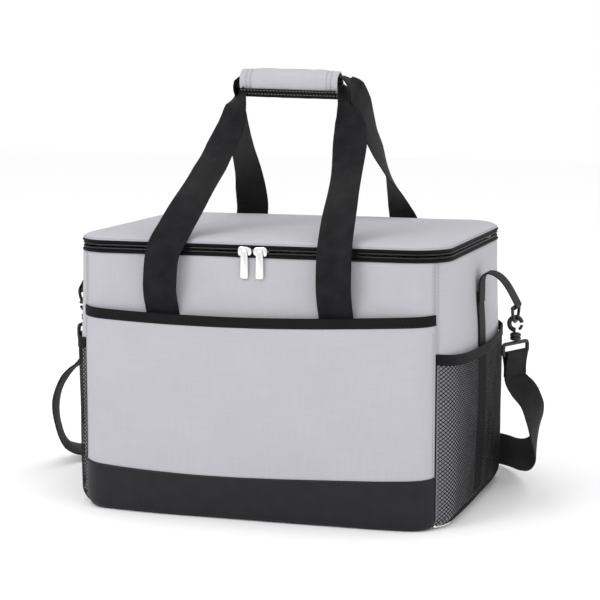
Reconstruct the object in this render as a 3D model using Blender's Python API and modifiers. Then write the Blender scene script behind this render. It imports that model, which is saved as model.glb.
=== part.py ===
"""Insulated cooler bag. Metres, +Z up, front towards -Y, origin under the middle of the bag."""
import math

import bpy
import bmesh
from mathutils import Matrix, Vector

# Driving dimensions
HALF_X = 0.2060
HALF_Y = 0.1500
CORNER = 0.040
SKIN = 0.0012
FOAM = 0.006
LID_FOAM = 0.004
LINING = 0.0008
GAP = 0.0003
BOTTOM_THICK = 0.0015
WALL_FOOT = BOTTOM_THICK + GAP
WALL_TOP = 0.2812
BASE_BAND_TOP = 0.053
POCKET_TOP = 0.2232
POCKET_PROUD = 0.0068
MESH_TOP = 0.185
BINDING = 0.010
ZIP_MIDDLE = 0.2875
COIL_GAP = 0.0014
COIL_HEIGHT = 0.0023
COIL_DEPTH = 0.0024
TAPE = 0.0009
LID_BOTTOM = 0.2938
LID_CREST = 0.3025
WEBBING = 0.038
WEBBING_THICK = 0.0015
SIDE_WEBBING = 0.030
HANDLE_ROOTS = {"front": (-0.100, 0.0925), "back": (-0.114, 0.0875)}
# How each handle goes up from its roots: across, how far out from the middle, the height, how far
# its face has turned from front or back towards the nearer end in degrees, and its width
HANDLE_RISE = {
    ("front", "left"): (
        (-0.0990, 0.1655, 0.2550, 0, 0.038), (-0.0960, 0.1635, 0.2850, 0, 0.038),
        (-0.0875, 0.1500, 0.3090, 0, 0.038), (-0.0803, 0.1190, 0.3375, 0, 0.038),
        (-0.0783, 0.0650, 0.3680, 0, 0.038), (-0.0765, 0.0300, 0.3920, 6, 0.038),
        (-0.0710, 0.0115, 0.4170, 18, 0.036), (-0.0668, 0.0095, 0.4360, 44, 0.026),
        (-0.0664, 0.0010, 0.4480, 82, 0.019)),
    ("front", "right"): (
        (0.0925, 0.1655, 0.2550, 0, 0.038), (0.0925, 0.1635, 0.2850, 0, 0.038),
        (0.0910, 0.1500, 0.3090, 0, 0.038), (0.0872, 0.1190, 0.3375, 0, 0.038),
        (0.0782, 0.0650, 0.3680, 0, 0.038), (0.0710, 0.0300, 0.3920, 8, 0.038),
        (0.0665, 0.0115, 0.4170, 30, 0.035), (0.0600, 0.0070, 0.4360, 62, 0.026),
        (0.0556, 0.0010, 0.4480, 80, 0.019)),
    ("back", "left"): (
        (-0.1130, 0.1655, 0.2550, 0, 0.038), (-0.1095, 0.1650, 0.2850, 8, 0.038),
        (-0.1040, 0.1560, 0.3090, 20, 0.038), (-0.0985, 0.1250, 0.3450, 40, 0.038),
        (-0.0915, 0.0880, 0.3730, 55, 0.038), (-0.0870, 0.0640, 0.3920, 62, 0.038),
        (-0.0830, 0.0440, 0.4120, 68, 0.036), (-0.0787, 0.0290, 0.4320, 75, 0.030),
        (-0.0720, 0.0100, 0.4500, 85, 0.024)),
    ("back", "right"): (
        (0.0865, 0.1655, 0.2550, 0, 0.038), (0.0845, 0.1650, 0.2850, 8, 0.038),
        (0.0815, 0.1560, 0.3090, 21, 0.038), (0.0785, 0.1250, 0.3450, 46, 0.038),
        (0.0768, 0.0880, 0.3730, 72, 0.038), (0.0740, 0.0640, 0.3920, 84, 0.038),
        (0.0722, 0.0440, 0.4120, 90, 0.036), (0.0718, 0.0250, 0.4320, 92, 0.032),
        (0.0680, 0.0090, 0.4500, 90, 0.025)),
}
# How it bends into the grip, the back handle over the front one: how far outside the grip's end,
# how far out from the middle, the height, how far its face has turned up, and its width
HANDLE_BEND = {
    "front": ((0.0034, 0, 0.4543, 40, 0.0165), (-0.0005, 0, 0.4566, 72, 0.0165),
              (-0.0165, 0, 0.4568, 90, 0.0180)),
    "back": ((0.0075, 0.0030, 0.4585, 30, 0.0210), (0.0035, 0, 0.4618, 65, 0.0185),
             (-0.0150, 0, 0.4622, 90, 0.0180)),
}
HANDLE_PIVOT_Y = HALF_Y + 0.0105
HANDLE_PIVOT_Z = 0.2245
GRIP_MIDDLE = -0.005
GRIP_HALF = 0.0565
GRIP_Z = 0.4590
GRIP_RADIUS_Y = 0.0135
GRIP_RADIUS_Z = 0.0155
GRIP_WALL = 0.0025
STRAP_AXIS_Z = 0.247
RING_WIRE = 0.00175
HOOK_WIRE = 0.0022
HOOK_RADIUS = 0.007
GATE_WIRE = 0.0017
# Where the gate starts and ends on the hook's circle, in degrees
GATE_FOOT = -58
GATE_TIP = -10
EYE_WIRE = 0.0022
SLIDER_X = 0.0085
ADJUSTER_X = 0.04
ADJUSTER_Y = 0.214
ADJUSTER_Z = 0.021
PULL_AXIS = (-HALF_Y - 0.0039, ZIP_MIDDLE)
PULL_THICK = 0.0014
BAR_HALF = 0.0195
RING_DROP = 0.018
TAB_THICK = 0.0013
TAB_WRAP = 0.0012
SWIVEL_TALL = 0.009
EYE_TALL = 0.012
STRAP_LOOP = 0.024
# Half the gap at an upright seam and how far the foam reaches round a corner, in degrees
SEAM = 0.35
FOAM_REACH = 43.5
# The way each wall faces, in degrees
TURN = {"right": 0, "back": 90, "left": 180, "front": 270}
# The corners at each wall's ends
ENDS = {
    "front": ((-1, -1), (1, -1)),
    "right": ((1, -1), (1, 1)),
    "back": ((1, 1), (-1, 1)),
    "left": ((-1, 1), (-1, -1)),
}
GREY = (0.56, 0.56, 0.60)
BLACK = (0.018, 0.018, 0.02)
SILVER = (0.75, 0.76, 0.78)
# The lid skin's rings: how far in from the outline, and how high
LID_RINGS = (
    (0, LID_BOTTOM), (0.0015, LID_BOTTOM + 0.0035), (0.006, LID_BOTTOM + 0.0065),
    (0.018, LID_CREST - 0.0015), (0.040, LID_CREST),
)
# Where each side's strap hardware hangs: the loop's route and the ring's bar, in x and z
HARDWARE = {
    "right": (1, ((0.2112, 0.2370), (0.2120, 0.2490), (0.2190, 0.2560), (0.2300, 0.2542),
                  (0.2412, 0.2435)), (0.2510, 0.2215)),
    "left": (-1, ((0.2112, 0.2370), (0.2120, 0.2490), (0.2190, 0.2560), (0.2320, 0.2542),
                  (0.2455, 0.2435)), (0.2560, 0.2215)),
}
# The shoulder strap's route from the right eye, round behind the bag, to the left eye:
# a point on its middle line, and the way its face looks
STRAP_ROUTE = (
    ((0.2510, 0.0000, 0.1422), (1, 0, 0)), ((0.2565, 0.0000, 0.1335), (1, -0.05, 0)),
    ((0.2675, 0.0020, 0.1210), (1, -0.15, 0)), ((0.2745, 0.0070, 0.1030), (1, -0.25, 0)),
    ((0.2760, 0.0230, 0.0810), (1, -0.15, 0)), ((0.2710, 0.0520, 0.0580), (1, 0.15, 0)),
    ((0.2580, 0.0920, 0.0380), (1, 0.45, 0)), ((0.2360, 0.1380, 0.0260), (0.9, 0.7, 0)),
    ((0.2050, 0.1800, 0.0215), (0.6, 0.9, 0)), ((0.1650, 0.2040, 0.0210), (0.25, 1, 0)),
    ((0.1100, 0.2130, 0.0210), (0.03, 1, 0)), ((0.0500, 0.2140, 0.0210), (0, 1, 0)),
    ((0, 0.2140, 0.0210), (0, 1, 0)), ((-0.0600, 0.2140, 0.0210), (0, 1, 0)),
    ((-0.1000, 0.2140, 0.0203), (0, 0.95, -0.25)), ((-0.1350, 0.2110, 0.0165), (0, 0.75, -0.60)),
    ((-0.1700, 0.2020, 0.0100), (-0.1, 0.35, -0.9)), ((-0.2100, 0.1840, 0.0045), (-0.1, 0, -1)),
    ((-0.2500, 0.1520, 0.0035), (-0.1, -0.05, -1)), ((-0.2830, 0.1120, 0.0050), (-0.2, -0.1, -1)),
    ((-0.3020, 0.0740, 0.0130), (-0.4, -0.2, -0.8)), ((-0.3075, 0.0430, 0.0333), (-0.9, -0.3, -0.3)),
    ((-0.3050, 0.0210, 0.0626), (-1, -0.28, -0.05)), ((-0.2980, 0.0080, 0.0920), (-1, -0.1, 0.1)),
    ((-0.2815, 0.0010, 0.1190), (-1, 0, 0.3)), ((-0.2640, 0.0000, 0.1332), (-1, 0, 0.2)),
    ((-0.2560, 0.0000, 0.1422), (-1, 0, 0)),
)

scene = bpy.context.scene
for old in list(bpy.data.objects):
    bpy.data.objects.remove(old)
parts = bpy.data.collections.new("cooler_bag")
scene.collection.children.link(parts)


def material(name, colour, roughness, metallic=0.0):
    made = bpy.data.materials.new(name)
    made.use_nodes = True
    shader = made.node_tree.nodes["Principled BSDF"]
    shader.inputs["Base Color"].default_value = (*colour, 1)
    shader.inputs["Roughness"].default_value = roughness
    shader.inputs["Metallic"].default_value = metallic
    return made


def fabric(name, colour=GREY):
    return material(name + "_fabric", colour, 0.85)


def plastic(name):
    return material(name + "_plastic", BLACK, 0.4)


def add(name, data, made):
    piece = bpy.data.objects.new(name, data)
    piece.data.materials.append(made)
    parts.objects.link(piece)
    return piece


def pivot(name, place):
    empty = bpy.data.objects.new(name, None)
    empty.location = place
    parts.objects.link(empty)
    return empty


def hang(pieces, empty):
    """Parents the pieces to an empty that stands on their joint's axis, without moving them."""
    for piece in pieces:
        piece.parent = empty
        piece.matrix_parent_inverse = Matrix.Translation(-Vector(empty.location))


def thicken(piece, depth, offset):
    solid = piece.modifiers.new("Thickness", "SOLIDIFY")
    solid.thickness = depth
    solid.offset = offset
    solid.use_even_offset = True


def corner(sign_x, sign_y, first, last, inset=0.0, steps=6):
    """Points along one rounded corner, between two angles in degrees."""
    radius = CORNER - inset
    middle = (sign_x * (HALF_X - CORNER), sign_y * (HALF_Y - CORNER))
    points = []
    for step in range(steps + 1):
        angle = math.radians(first + (last - first) * step / steps)
        points.append((middle[0] + radius * math.cos(angle), middle[1] + radius * math.sin(angle)))
    return points


def whole_outline(inset=0.0):
    """The bag's rounded outline, anticlockwise from the front left, moved inwards by inset."""
    points = corner(-1, -1, 180, 270, inset) + corner(1, -1, 270, 360, inset)
    return points + corner(1, 1, 0, 90, inset) + corner(-1, 1, 90, 180, inset)


def side_path(side, inset=0.0, reach=45):
    """One wall's share of the outline: its straight run and reach degrees of each corner."""
    turn = TURN[side]
    first, second = ENDS[side]
    start = corner(*first, turn - reach + SEAM, turn, inset, 3)
    return start + corner(*second, turn, turn + reach - SEAM, inset, 3)


def proud_path(side, proud, inset):
    """A pocket's path: on the wall at both seams, and standing off it between them."""
    near = side_path(side, inset)
    far = side_path(side, inset - proud)
    shares = (0.0, 0.45, 0.85, 1.0, 1.0, 0.85, 0.45, 0.0)
    return [
        (a[0] + (b[0] - a[0]) * share, a[1] + (b[1] - a[1]) * share)
        for a, b, share in zip(near, far, shares)
    ]


def wall(name, path, low, high, depth, made, closed=False):
    """An upright sheet along a path. Its outer face is on the path, and it grows inwards."""
    form = bmesh.new()
    bottom = [form.verts.new((x, y, low)) for x, y in path]
    edges = [form.edges.new(pair) for pair in zip(bottom, bottom[1:])]
    if closed:
        edges.append(form.edges.new((bottom[-1], bottom[0])))
    grown = bmesh.ops.extrude_edge_only(form, edges=edges)["geom"]
    top = [item for item in grown if isinstance(item, bmesh.types.BMVert)]
    bmesh.ops.translate(form, vec=(0, 0, high - low), verts=top)
    form.normal_update()
    face = form.faces[:][0]
    middle = face.calc_center_median()
    if face.normal.x * middle.x + face.normal.y * middle.y < 0:
        bmesh.ops.reverse_faces(form, faces=form.faces[:])
    mesh = bpy.data.meshes.new(name)
    form.to_mesh(mesh)
    form.free()
    piece = add(name, mesh, made)
    thicken(piece, depth, -1)
    return piece


def plate(name, outline, thickness, made, place):
    """A flat outline, extruded to its thickness and placed by a matrix."""
    curve = bpy.data.curves.new(name, "CURVE")
    curve.dimensions = "2D"
    curve.fill_mode = "BOTH"
    curve.extrude = thickness / 2
    spline = curve.splines.new("POLY")
    spline.points.add(len(outline) - 1)
    for point, (x, y) in zip(spline.points, outline):
        point.co = (x, y, 0, 1)
    spline.use_cyclic_u = True
    piece = add(name, curve, made)
    piece.matrix_world = place
    return piece


def flat(z):
    return Matrix.Translation((0, 0, z))


def across_x(x):
    """Turns an outline in (y, z) to face along X."""
    return Matrix(((0, 0, 1, x), (1, 0, 0, 0), (0, 1, 0, 0), (0, 0, 0, 1)))


def tube(name, points, radius, made, closed=False):
    curve = bpy.data.curves.new(name, "CURVE")
    curve.dimensions = "3D"
    curve.bevel_depth = radius
    curve.bevel_resolution = 2
    curve.use_fill_caps = True
    spline = curve.splines.new("POLY")
    spline.points.add(len(points) - 1)
    for point, place in zip(spline.points, points):
        point.co = (*place, 1)
    spline.use_cyclic_u = closed
    return add(name, curve, made)


def smooth(points, spacing):
    """Points about spacing apart on one smooth curve through the given points."""
    points = [Vector(point) for point in points]
    ends = [points[0] * 2 - points[1]] + points + [points[-1] * 2 - points[-2]]
    made = []
    for index in range(1, len(ends) - 2):
        before, start, end, after = ends[index - 1:index + 3]
        count = max(1, round((end - start).length / spacing))
        for step in range(count):
            t = step / count
            made.append(
                0.5 * (2 * start + (end - before) * t
                       + (2 * before - 5 * start + 4 * end - after) * t ** 2
                       + (3 * start - before - 3 * end + after) * t ** 3)
            )
    made.append(points[-1])
    return made


def strap(name, points, facings, widths, thickness, made, spacing=0.03):
    """Flat webbing along a smooth route. Each route point has the way its face looks and a width."""
    route = smooth(points, spacing)
    form = bmesh.new()
    pairs = []
    for index, place in enumerate(route):
        ahead = (route[min(index + 1, len(route) - 1)] - route[max(index - 1, 0)]).normalized()
        share = nearest(points, place)
        look = blend_of(facings, share).normalized()
        half = blend_of([Vector((width, 0, 0)) for width in widths], share).x / 2
        side = ahead.cross(look).normalized() * half
        pairs.append((form.verts.new(place - side), form.verts.new(place + side)))
    for first, second in zip(pairs, pairs[1:]):
        form.faces.new((first[0], first[1], second[1], second[0]))
    mesh = bpy.data.meshes.new(name)
    form.to_mesh(mesh)
    form.free()
    piece = add(name, mesh, made)
    thicken(piece, thickness, 0)
    return piece


def nearest(points, place):
    """Where place lies along the chain of points, counted in whole points and a share of the next."""
    best = (1e9, 0.0)
    for index in range(len(points) - 1):
        start, end = Vector(points[index]), Vector(points[index + 1])
        run = end - start
        share = min(max((place - start).dot(run) / run.length_squared, 0), 1)
        best = min(best, ((start + run * share - place).length, index + share))
    return best[1]


def blend_of(values, share):
    index = min(int(share), len(values) - 2)
    return Vector(values[index]).lerp(Vector(values[index + 1]), share - index)


def make_walls():
    for side in ("front", "back", "left", "right"):
        name = side + ("_panel" if side in ("front", "back") else "_side_panel")
        wall(name, side_path(side), WALL_FOOT, WALL_TOP, SKIN, fabric(name))
        foam_path = side_path(side, SKIN + GAP, FOAM_REACH)
        foam = material(side + "_foam_white", (0.8, 0.8, 0.78), 0.9)
        wall(side + "_foam", foam_path, WALL_FOOT, WALL_TOP - GAP, FOAM, foam)
    plate("bottom_panel", whole_outline(), BOTTOM_THICK, fabric("bottom", BLACK),
          flat(BOTTOM_THICK / 2))
    inner = SKIN + FOAM + 2 * GAP
    foam = material("bottom_foam_white", (0.8, 0.8, 0.78), 0.9)
    plate("bottom_foam", whole_outline(inner), FOAM, foam, flat(WALL_FOOT + FOAM / 2))
    make_liner(inner)


def make_liner(inset):
    """An open tray of foil-like lining: walls and floor in one sheet."""
    form = bmesh.new()
    floor_z = WALL_FOOT + FOAM + GAP
    floor = [form.verts.new((x, y, floor_z)) for x, y in whole_outline(inset)]
    face = form.faces.new(floor)
    grown = bmesh.ops.extrude_edge_only(form, edges=face.edges[:])["geom"]
    top = [item for item in grown if isinstance(item, bmesh.types.BMVert)]
    bmesh.ops.translate(form, vec=(0, 0, WALL_TOP - floor_z), verts=top)
    bmesh.ops.recalc_face_normals(form, faces=form.faces[:])
    form.normal_update()
    if face.normal.z > 0:
        bmesh.ops.reverse_faces(form, faces=form.faces[:])
    mesh = bpy.data.meshes.new("liner")
    form.to_mesh(mesh)
    form.free()
    piece = add("liner", mesh, material("liner_foil", SILVER, 0.35, 0.6))
    thicken(piece, LINING, -1)


def make_pockets():
    band = material("base_band_black", BLACK, 0.5)
    binding = fabric("binding", BLACK)
    wall("back_base_band", side_path("back", -GAP - 0.0009), WALL_FOOT, BASE_BAND_TOP, 0.0009, band)
    outer = proud_path("front", POCKET_PROUD, -GAP - SKIN)
    wall("front_base_band", outer, WALL_FOOT, BASE_BAND_TOP, SKIN, band)
    low = POCKET_TOP - BINDING
    wall("front_pocket_panel", outer, BASE_BAND_TOP + GAP, low - GAP, SKIN, fabric("pocket"))
    wall("front_pocket_binding", outer, low, POCKET_TOP, SKIN, binding)
    for side in ("left", "right"):
        outer = proud_path(side, POCKET_PROUD, -GAP - 0.001)
        net = material(side + "_mesh", (0.03, 0.03, 0.03), 0.8)
        low = MESH_TOP - BINDING
        wall(side + "_mesh_pocket", outer, WALL_FOOT, low - GAP, 0.001, net)
        wall(side + "_mesh_pocket_binding", outer, low, MESH_TOP, 0.001, binding)


def side_webbing(side, sign):
    x = sign * (HALF_X + GAP + WEBBING_THICK / 2)
    points = ((x, 0, 0.004), (x, 0, 0.130), (x, 0, STRAP_AXIS_Z + 0.010))
    facing = (sign, 0, 0)
    strap(side + "_side_webbing", points, [facing] * 3, [SIDE_WEBBING] * 3,
          WEBBING_THICK, fabric(side + "_webbing", BLACK), 0.2)


def handle_anchors():
    """The sewn-down ends of the handle webbing: behind the front pocket, and on the back."""
    for face, sign in (("front", -1), ("back", 1)):
        y = sign * (HALF_Y + GAP + WEBBING_THICK / 2)
        for hand, x in zip(("left", "right"), HANDLE_ROOTS[face]):
            name = f"{face}_{hand}_handle_anchor"
            points = ((x, y, BASE_BAND_TOP + 0.004), (x, y, 0.130), (x, y, HANDLE_PIVOT_Z - 0.005))
            strap(name, points, [(0, sign, 0)] * 3, [WEBBING] * 3,
                  WEBBING_THICK, fabric(name, BLACK), 0.2)


def zip_path(inset):
    """The zip's path: along the left side, the front and the right side, to the back corners."""
    return side_path("left", inset)[1:] + side_path("front", inset) + side_path("right", inset)[:-1]


def make_zip():
    tape = fabric("zip_tape", BLACK)
    coil = plastic("zip_coil")
    half_gap = COIL_GAP / 2
    coil_low = ZIP_MIDDLE - half_gap - COIL_HEIGHT
    coil_high = ZIP_MIDDLE + half_gap + COIL_HEIGHT
    tape_inset = (COIL_DEPTH - TAPE) / 2
    wall("zip_lower_tape", zip_path(tape_inset), WALL_TOP + GAP, coil_low - GAP, TAPE, tape)
    wall("zip_lower_coil", zip_path(0), coil_low, ZIP_MIDDLE - half_gap, COIL_DEPTH, coil)
    wall("back_hinge_strip", side_path("back", 0, 40), WALL_TOP + GAP,
         ZIP_MIDDLE - half_gap, SKIN, tape)
    return [
        wall("zip_upper_tape", zip_path(tape_inset), coil_high + GAP, LID_BOTTOM - 2 * GAP, TAPE,
             tape),
        wall("zip_upper_coil", zip_path(0), ZIP_MIDDLE + half_gap, coil_high, COIL_DEPTH, coil),
        wall("lid_hinge_hem", side_path("back", 0, 40), ZIP_MIDDLE + half_gap,
             LID_BOTTOM - 2 * GAP, SKIN, tape),
    ]


def make_lid():
    """The domed lid skin, and under it a foam sheet and a lining sheet."""
    form = bmesh.new()
    rings = []
    for inset, z in LID_RINGS:
        inner = min(inset, CORNER - 0.004)
        rings.append([form.verts.new((x, y, z)) for x, y in whole_outline(inner)])
    for lower, upper in zip(rings, rings[1:]):
        for index in range(len(lower)):
            after = (index + 1) % len(lower)
            form.faces.new((lower[index], lower[after], upper[after], upper[index]))
    form.faces.new(rings[-1])
    form.normal_update()
    mesh = bpy.data.meshes.new("lid_shell")
    form.to_mesh(mesh)
    form.free()
    shell = add("lid_shell", mesh, fabric("lid"))
    thicken(shell, SKIN, -1)
    foam = material("lid_foam_white", (0.8, 0.8, 0.78), 0.9)
    lining = material("lid_liner_foil", SILVER, 0.35, 0.6)
    inset = 0.014
    foam_low = LID_BOTTOM + 0.0012
    return [
        shell,
        plate("lid_foam", whole_outline(inset), LID_FOAM, foam,
              flat(foam_low + LID_FOAM / 2)),
        plate("lid_liner", whole_outline(inset), LINING, lining,
              flat(foam_low - GAP - LINING / 2)),
    ]


def handle_half(face, hand):
    """Route points, the ways its face looks and its widths from one root to inside the grip."""
    out = -1 if face == "front" else 1
    end = -1 if hand == "left" else 1
    mouth = GRIP_MIDDLE + end * GRIP_HALF
    made = [
        ((HANDLE_ROOTS[face][int(hand == "right")], out * HANDLE_PIVOT_Y, HANDLE_PIVOT_Z + 0.0005),
         (0, out, 0), WEBBING)
    ]
    for x, away, z, turn, width in HANDLE_RISE[face, hand]:
        angle = math.radians(turn)
        made.append(((x, out * away, z), (end * math.sin(angle), out * math.cos(angle), 0), width))
    for beyond, away, z, tilt, width in HANDLE_BEND[face]:
        angle = math.radians(tilt)
        place = (mouth + end * beyond, out * away, z)
        made.append((place, (end * math.cos(angle), 0, math.sin(angle)), width))
    return made


def make_handles():
    bodies = {}
    for face in ("front", "back"):
        made = handle_half(face, "left") + handle_half(face, "right")[::-1]
        route, looks, widths = zip(*made)
        name = face + "_handle_webbing"
        piece = strap(name, route, looks, widths, WEBBING_THICK, fabric(name, BLACK), 0.022)
        bodies[face] = [piece]
    wrap = fabric("grip_wrap")
    bodies["back"].append(grip_shell("grip_wrap_base", -75, 90 - 0.6, wrap))
    bodies["flap"] = [grip_shell("grip_wrap_flap", 90 + 0.6, 285 - 1.5, wrap)]
    bodies["flap"].append(grip_tape())
    return bodies


def grip_arc(first, last, grow, steps):
    points = []
    for step in range(steps + 1):
        angle = math.radians(first + (last - first) * step / steps)
        points.append(((GRIP_RADIUS_Y + grow) * math.cos(angle),
                       GRIP_Z + (GRIP_RADIUS_Z + grow) * math.sin(angle)))
    return points


def grip_shell(name, first, last, made):
    """A padded half of the grip's wrap, as an arc of an oval along X."""
    outer = grip_arc(first, last, 0, 8)
    inner = grip_arc(first, last, -GRIP_WALL, 8)
    return plate(name, outer + inner[::-1], 2 * GRIP_HALF, made, across_x(GRIP_MIDDLE))


def grip_tape():
    """The black strip of loop tape along the flap's lower front."""
    outer = grip_arc(212, 240, GAP + 0.0009, 3)
    inner = grip_arc(212, 240, GAP, 3)
    return plate("grip_loop_tape", outer + inner[::-1], 2 * GRIP_HALF - 0.004,
                 fabric("loop_tape", BLACK), across_x(GRIP_MIDDLE))


def slider(name, x):
    """Two plates joined by a thin web that runs between the coils."""
    back, front = 0.0029, -0.0007
    plate_depth, web, tall = 0.0012, 0.0004, 0.0058
    y = -HALF_Y
    outline = [
        (y + front - plate_depth, -tall), (y + front, -tall), (y + front, -web), (y + back, -web),
        (y + back, -tall), (y + back + plate_depth, -tall), (y + back + plate_depth, tall),
        (y + back, tall), (y + back, web), (y + front, web), (y + front, tall),
        (y + front - plate_depth, tall),
    ]
    outline = [(across, ZIP_MIDDLE + up) for across, up in outline]
    return plate(name, outline, 0.012, material(name + "_chrome", (0.7, 0.7, 0.72), 0.2, 1),
                 across_x(x))


def pull(name, x):
    """A zip pull that hangs from the slider, turning on the line through its top."""
    half, top, bottom = 0.0045, 0.0015, -0.029
    outline = [(-0.0025, top), (-half, bottom + 0.024), (-half, bottom + 0.003), (-0.0025, bottom),
               (0.0025, bottom), (half, bottom + 0.003), (half, bottom + 0.024), (0.0025, top)]
    face_front = Matrix(((1, 0, 0, x), (0, 0, -1, PULL_AXIS[0]), (0, 1, 0, PULL_AXIS[1]),
                         (0, 0, 0, 1)))
    return plate(name, outline, PULL_THICK, material(name + "_chrome", (0.75, 0.75, 0.77), 0.15, 1),
                 face_front)


def turn_round(centre, radius, first, last, steps=6):
    points = []
    for step in range(steps + 1):
        angle = math.radians(first + (last - first) * step / steps)
        points.append((centre[0] + radius * math.cos(angle), centre[1] + radius * math.sin(angle)))
    return points


def loop_tab(side):
    """The free loop of webbing that goes up from the side, over, and round the ring's bar."""
    sign, rise, bar = HARDWARE[side]
    around = turn_round(bar, RING_WIRE + TAB_WRAP, 40, -160)
    route = [(sign * x, z) for x, z in list(rise) + around]
    return ribbon_in_y(side + "_loop_tab", route, SIDE_WEBBING / 2, fabric(side + "_tab", BLACK))


def d_ring(side):
    sign, _, (x, z) = HARDWARE[side]
    points = [(sign * x, -BAR_HALF, z), (sign * x, BAR_HALF, z)]
    for step in range(1, 8):
        angle = math.pi * step / 8
        points.append((sign * x, BAR_HALF * math.cos(angle), z - RING_DROP * math.sin(angle)))
    metal = material(side + "_ring_black", BLACK, 0.35)
    return tube(side + "_d_ring", points, RING_WIRE, metal, True)


def hook_middle(side):
    """The middle of the snap hook's arc, in x and z."""
    _, _, (x, bar_z) = HARDWARE[side]
    return x, bar_z - RING_DROP - 0.0024


def hook_parts(side):
    """Snap hook, its gate, the swivel under it and the eye that holds the strap."""
    sign = HARDWARE[side][0]
    x, z = hook_middle(side)
    hook_route = turn_round((x, z), HOOK_RADIUS, 12, 270, 9)
    hook = tube(side + "_hook", [(sign * a, 0, b) for a, b in hook_route], HOOK_WIRE,
                plastic(side + "_hook"))
    gate_route = turn_round((x, z), HOOK_RADIUS, GATE_FOOT, GATE_TIP, 2)
    gate = tube(side + "_hook_gate", [(sign * a, 0, b) for a, b in gate_route], GATE_WIRE,
                plastic(side + "_gate"))
    swivel_top = z - HOOK_RADIUS - HOOK_WIRE - GAP
    swivel = turned(side + "_swivel", (sign * x, 0, swivel_top),
                    ((0.0035, 0), (0.0048, -0.0012), (0.0048, -0.0075), (0.0035, -SWIVEL_TALL)))
    eye_top = swivel_top - SWIVEL_TALL - GAP - EYE_WIRE
    eye_low = eye_top - EYE_TALL
    half = WEBBING / 2 + 0.0035
    eye_points = [(sign * x, -half, eye_low), (sign * x, -half, eye_top), (sign * x, half, eye_top),
                  (sign * x, half, eye_low)]
    eye = tube(side + "_strap_eye", eye_points, EYE_WIRE, plastic(side + "_eye"), True)
    up_and_over = turn_round((x, eye_low), EYE_WIRE + TAB_THICK, 200, -20, 6)
    loop_end = eye_low - STRAP_LOOP
    loop_route = [(x - TAB_THICK, loop_end)] + up_and_over + [(x + TAB_THICK, loop_end)]
    loop = ribbon_in_y(side + "_strap_loop", [(sign * a, b) for a, b in loop_route],
                       WEBBING / 2, fabric(side + "_loop", BLACK))
    return hook, gate, swivel, eye, loop


def ribbon_in_y(name, route, half, made):
    form = bmesh.new()
    pairs = [(form.verts.new((x, -half, z)), form.verts.new((x, half, z))) for x, z in route]
    for first, second in zip(pairs, pairs[1:]):
        form.faces.new((first[0], first[1], second[1], second[0]))
    mesh = bpy.data.meshes.new(name)
    form.to_mesh(mesh)
    form.free()
    piece = add(name, mesh, made)
    thicken(piece, TAB_THICK, 0)
    return piece


def turned(name, place, profile):
    """A turned solid about Z, from a profile of (radius, height) that runs top to bottom."""
    form = bmesh.new()
    rows = [(0, profile[0][1])] + list(profile) + [(0, profile[-1][1])]
    chain = [form.verts.new((radius, 0, z)) for radius, z in rows]
    for pair in zip(chain, chain[1:]):
        form.edges.new(pair)
    mesh = bpy.data.meshes.new(name)
    form.to_mesh(mesh)
    form.free()
    piece = add(name, mesh, plastic(name))
    piece.location = place
    screw = piece.modifiers.new("Turn", "SCREW")
    screw.steps = 16
    screw.render_steps = 16
    screw.use_merge_vertices = True
    screw.merge_threshold = 0.0001
    return piece


def shoulder_strap():
    points = [place for place, _ in STRAP_ROUTE]
    looks = [look for _, look in STRAP_ROUTE]
    webbing = strap("shoulder_webbing", points, looks, [WEBBING] * len(points),
                    WEBBING_THICK, fabric("shoulder", BLACK), 0.022)
    return webbing, sleeve("strap_adjuster", 0.0035, 0.0208, 0.020)


def sleeve(name, half_y, half_z, length):
    """A flat rectangular sleeve round the strap: the adjuster's frame."""
    y, z = ADJUSTER_Y, ADJUSTER_Z
    outer = [(y - half_y, z - half_z), (y + half_y, z - half_z),
             (y + half_y, z + half_z), (y - half_y, z + half_z)]
    curve = bpy.data.curves.new(name, "CURVE")
    curve.dimensions = "2D"
    curve.fill_mode = "BOTH"
    curve.extrude = length / 2
    inner = [(a + 0.0022 * (1 if a < y else -1), b + 0.0012 * (1 if b < z else -1))
             for a, b in outer]
    for outline in (outer, inner):
        spline = curve.splines.new("POLY")
        spline.points.add(3)
        for point, (a, b) in zip(spline.points, outline):
            point.co = (a, b, 0, 1)
        spline.use_cyclic_u = True
    piece = add(name, curve, plastic(name))
    piece.matrix_world = across_x(ADJUSTER_X)
    return piece


make_walls()
make_pockets()
side_webbing("left", -1)
side_webbing("right", 1)
handle_anchors()
hang(make_zip() + make_lid(), pivot("lid_axis", (0, HALF_Y, ZIP_MIDDLE)))
handles = make_handles()
hang(handles["front"], pivot("front_handle_axis", (0, -HANDLE_PIVOT_Y, HANDLE_PIVOT_Z)))
hang(handles["back"], pivot("back_handle_axis", (0, HANDLE_PIVOT_Y, HANDLE_PIVOT_Z)))
hang(handles["flap"], pivot("grip_flap_axis", (0, 0, GRIP_Z + GRIP_RADIUS_Z)))
for label, sign in (("left", -1), ("right", 1)):
    slider(label + "_zip_slider", sign * SLIDER_X)
    hang([pull(label + "_zip_pull", sign * SLIDER_X)],
         pivot(label + "_pull_axis", (sign * SLIDER_X, PULL_AXIS[0], PULL_AXIS[1])))
lift = pivot("shoulder_strap_axis", (0, 0, STRAP_AXIS_Z))
hang(list(shoulder_strap()), lift)
for label in ("left", "right"):
    hook, gate, swivel, eye, loop = hook_parts(label)
    hang([loop_tab(label), d_ring(label), hook, eye, loop], lift)
    swivel.parent = lift
    swivel.matrix_parent_inverse = Matrix.Translation(-Vector(lift.location))
    gate_x, gate_z = turn_round(hook_middle(label), HOOK_RADIUS, GATE_FOOT, GATE_TIP)[0]
    hang([gate], pivot(label + "_gate_axis", (HARDWARE[label][0] * gate_x, 0, gate_z)))
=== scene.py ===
"""Looks of the insulated cooler bag: fabric shell, webbing, net pockets, zip, grip and strap hardware."""
import math

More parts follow.
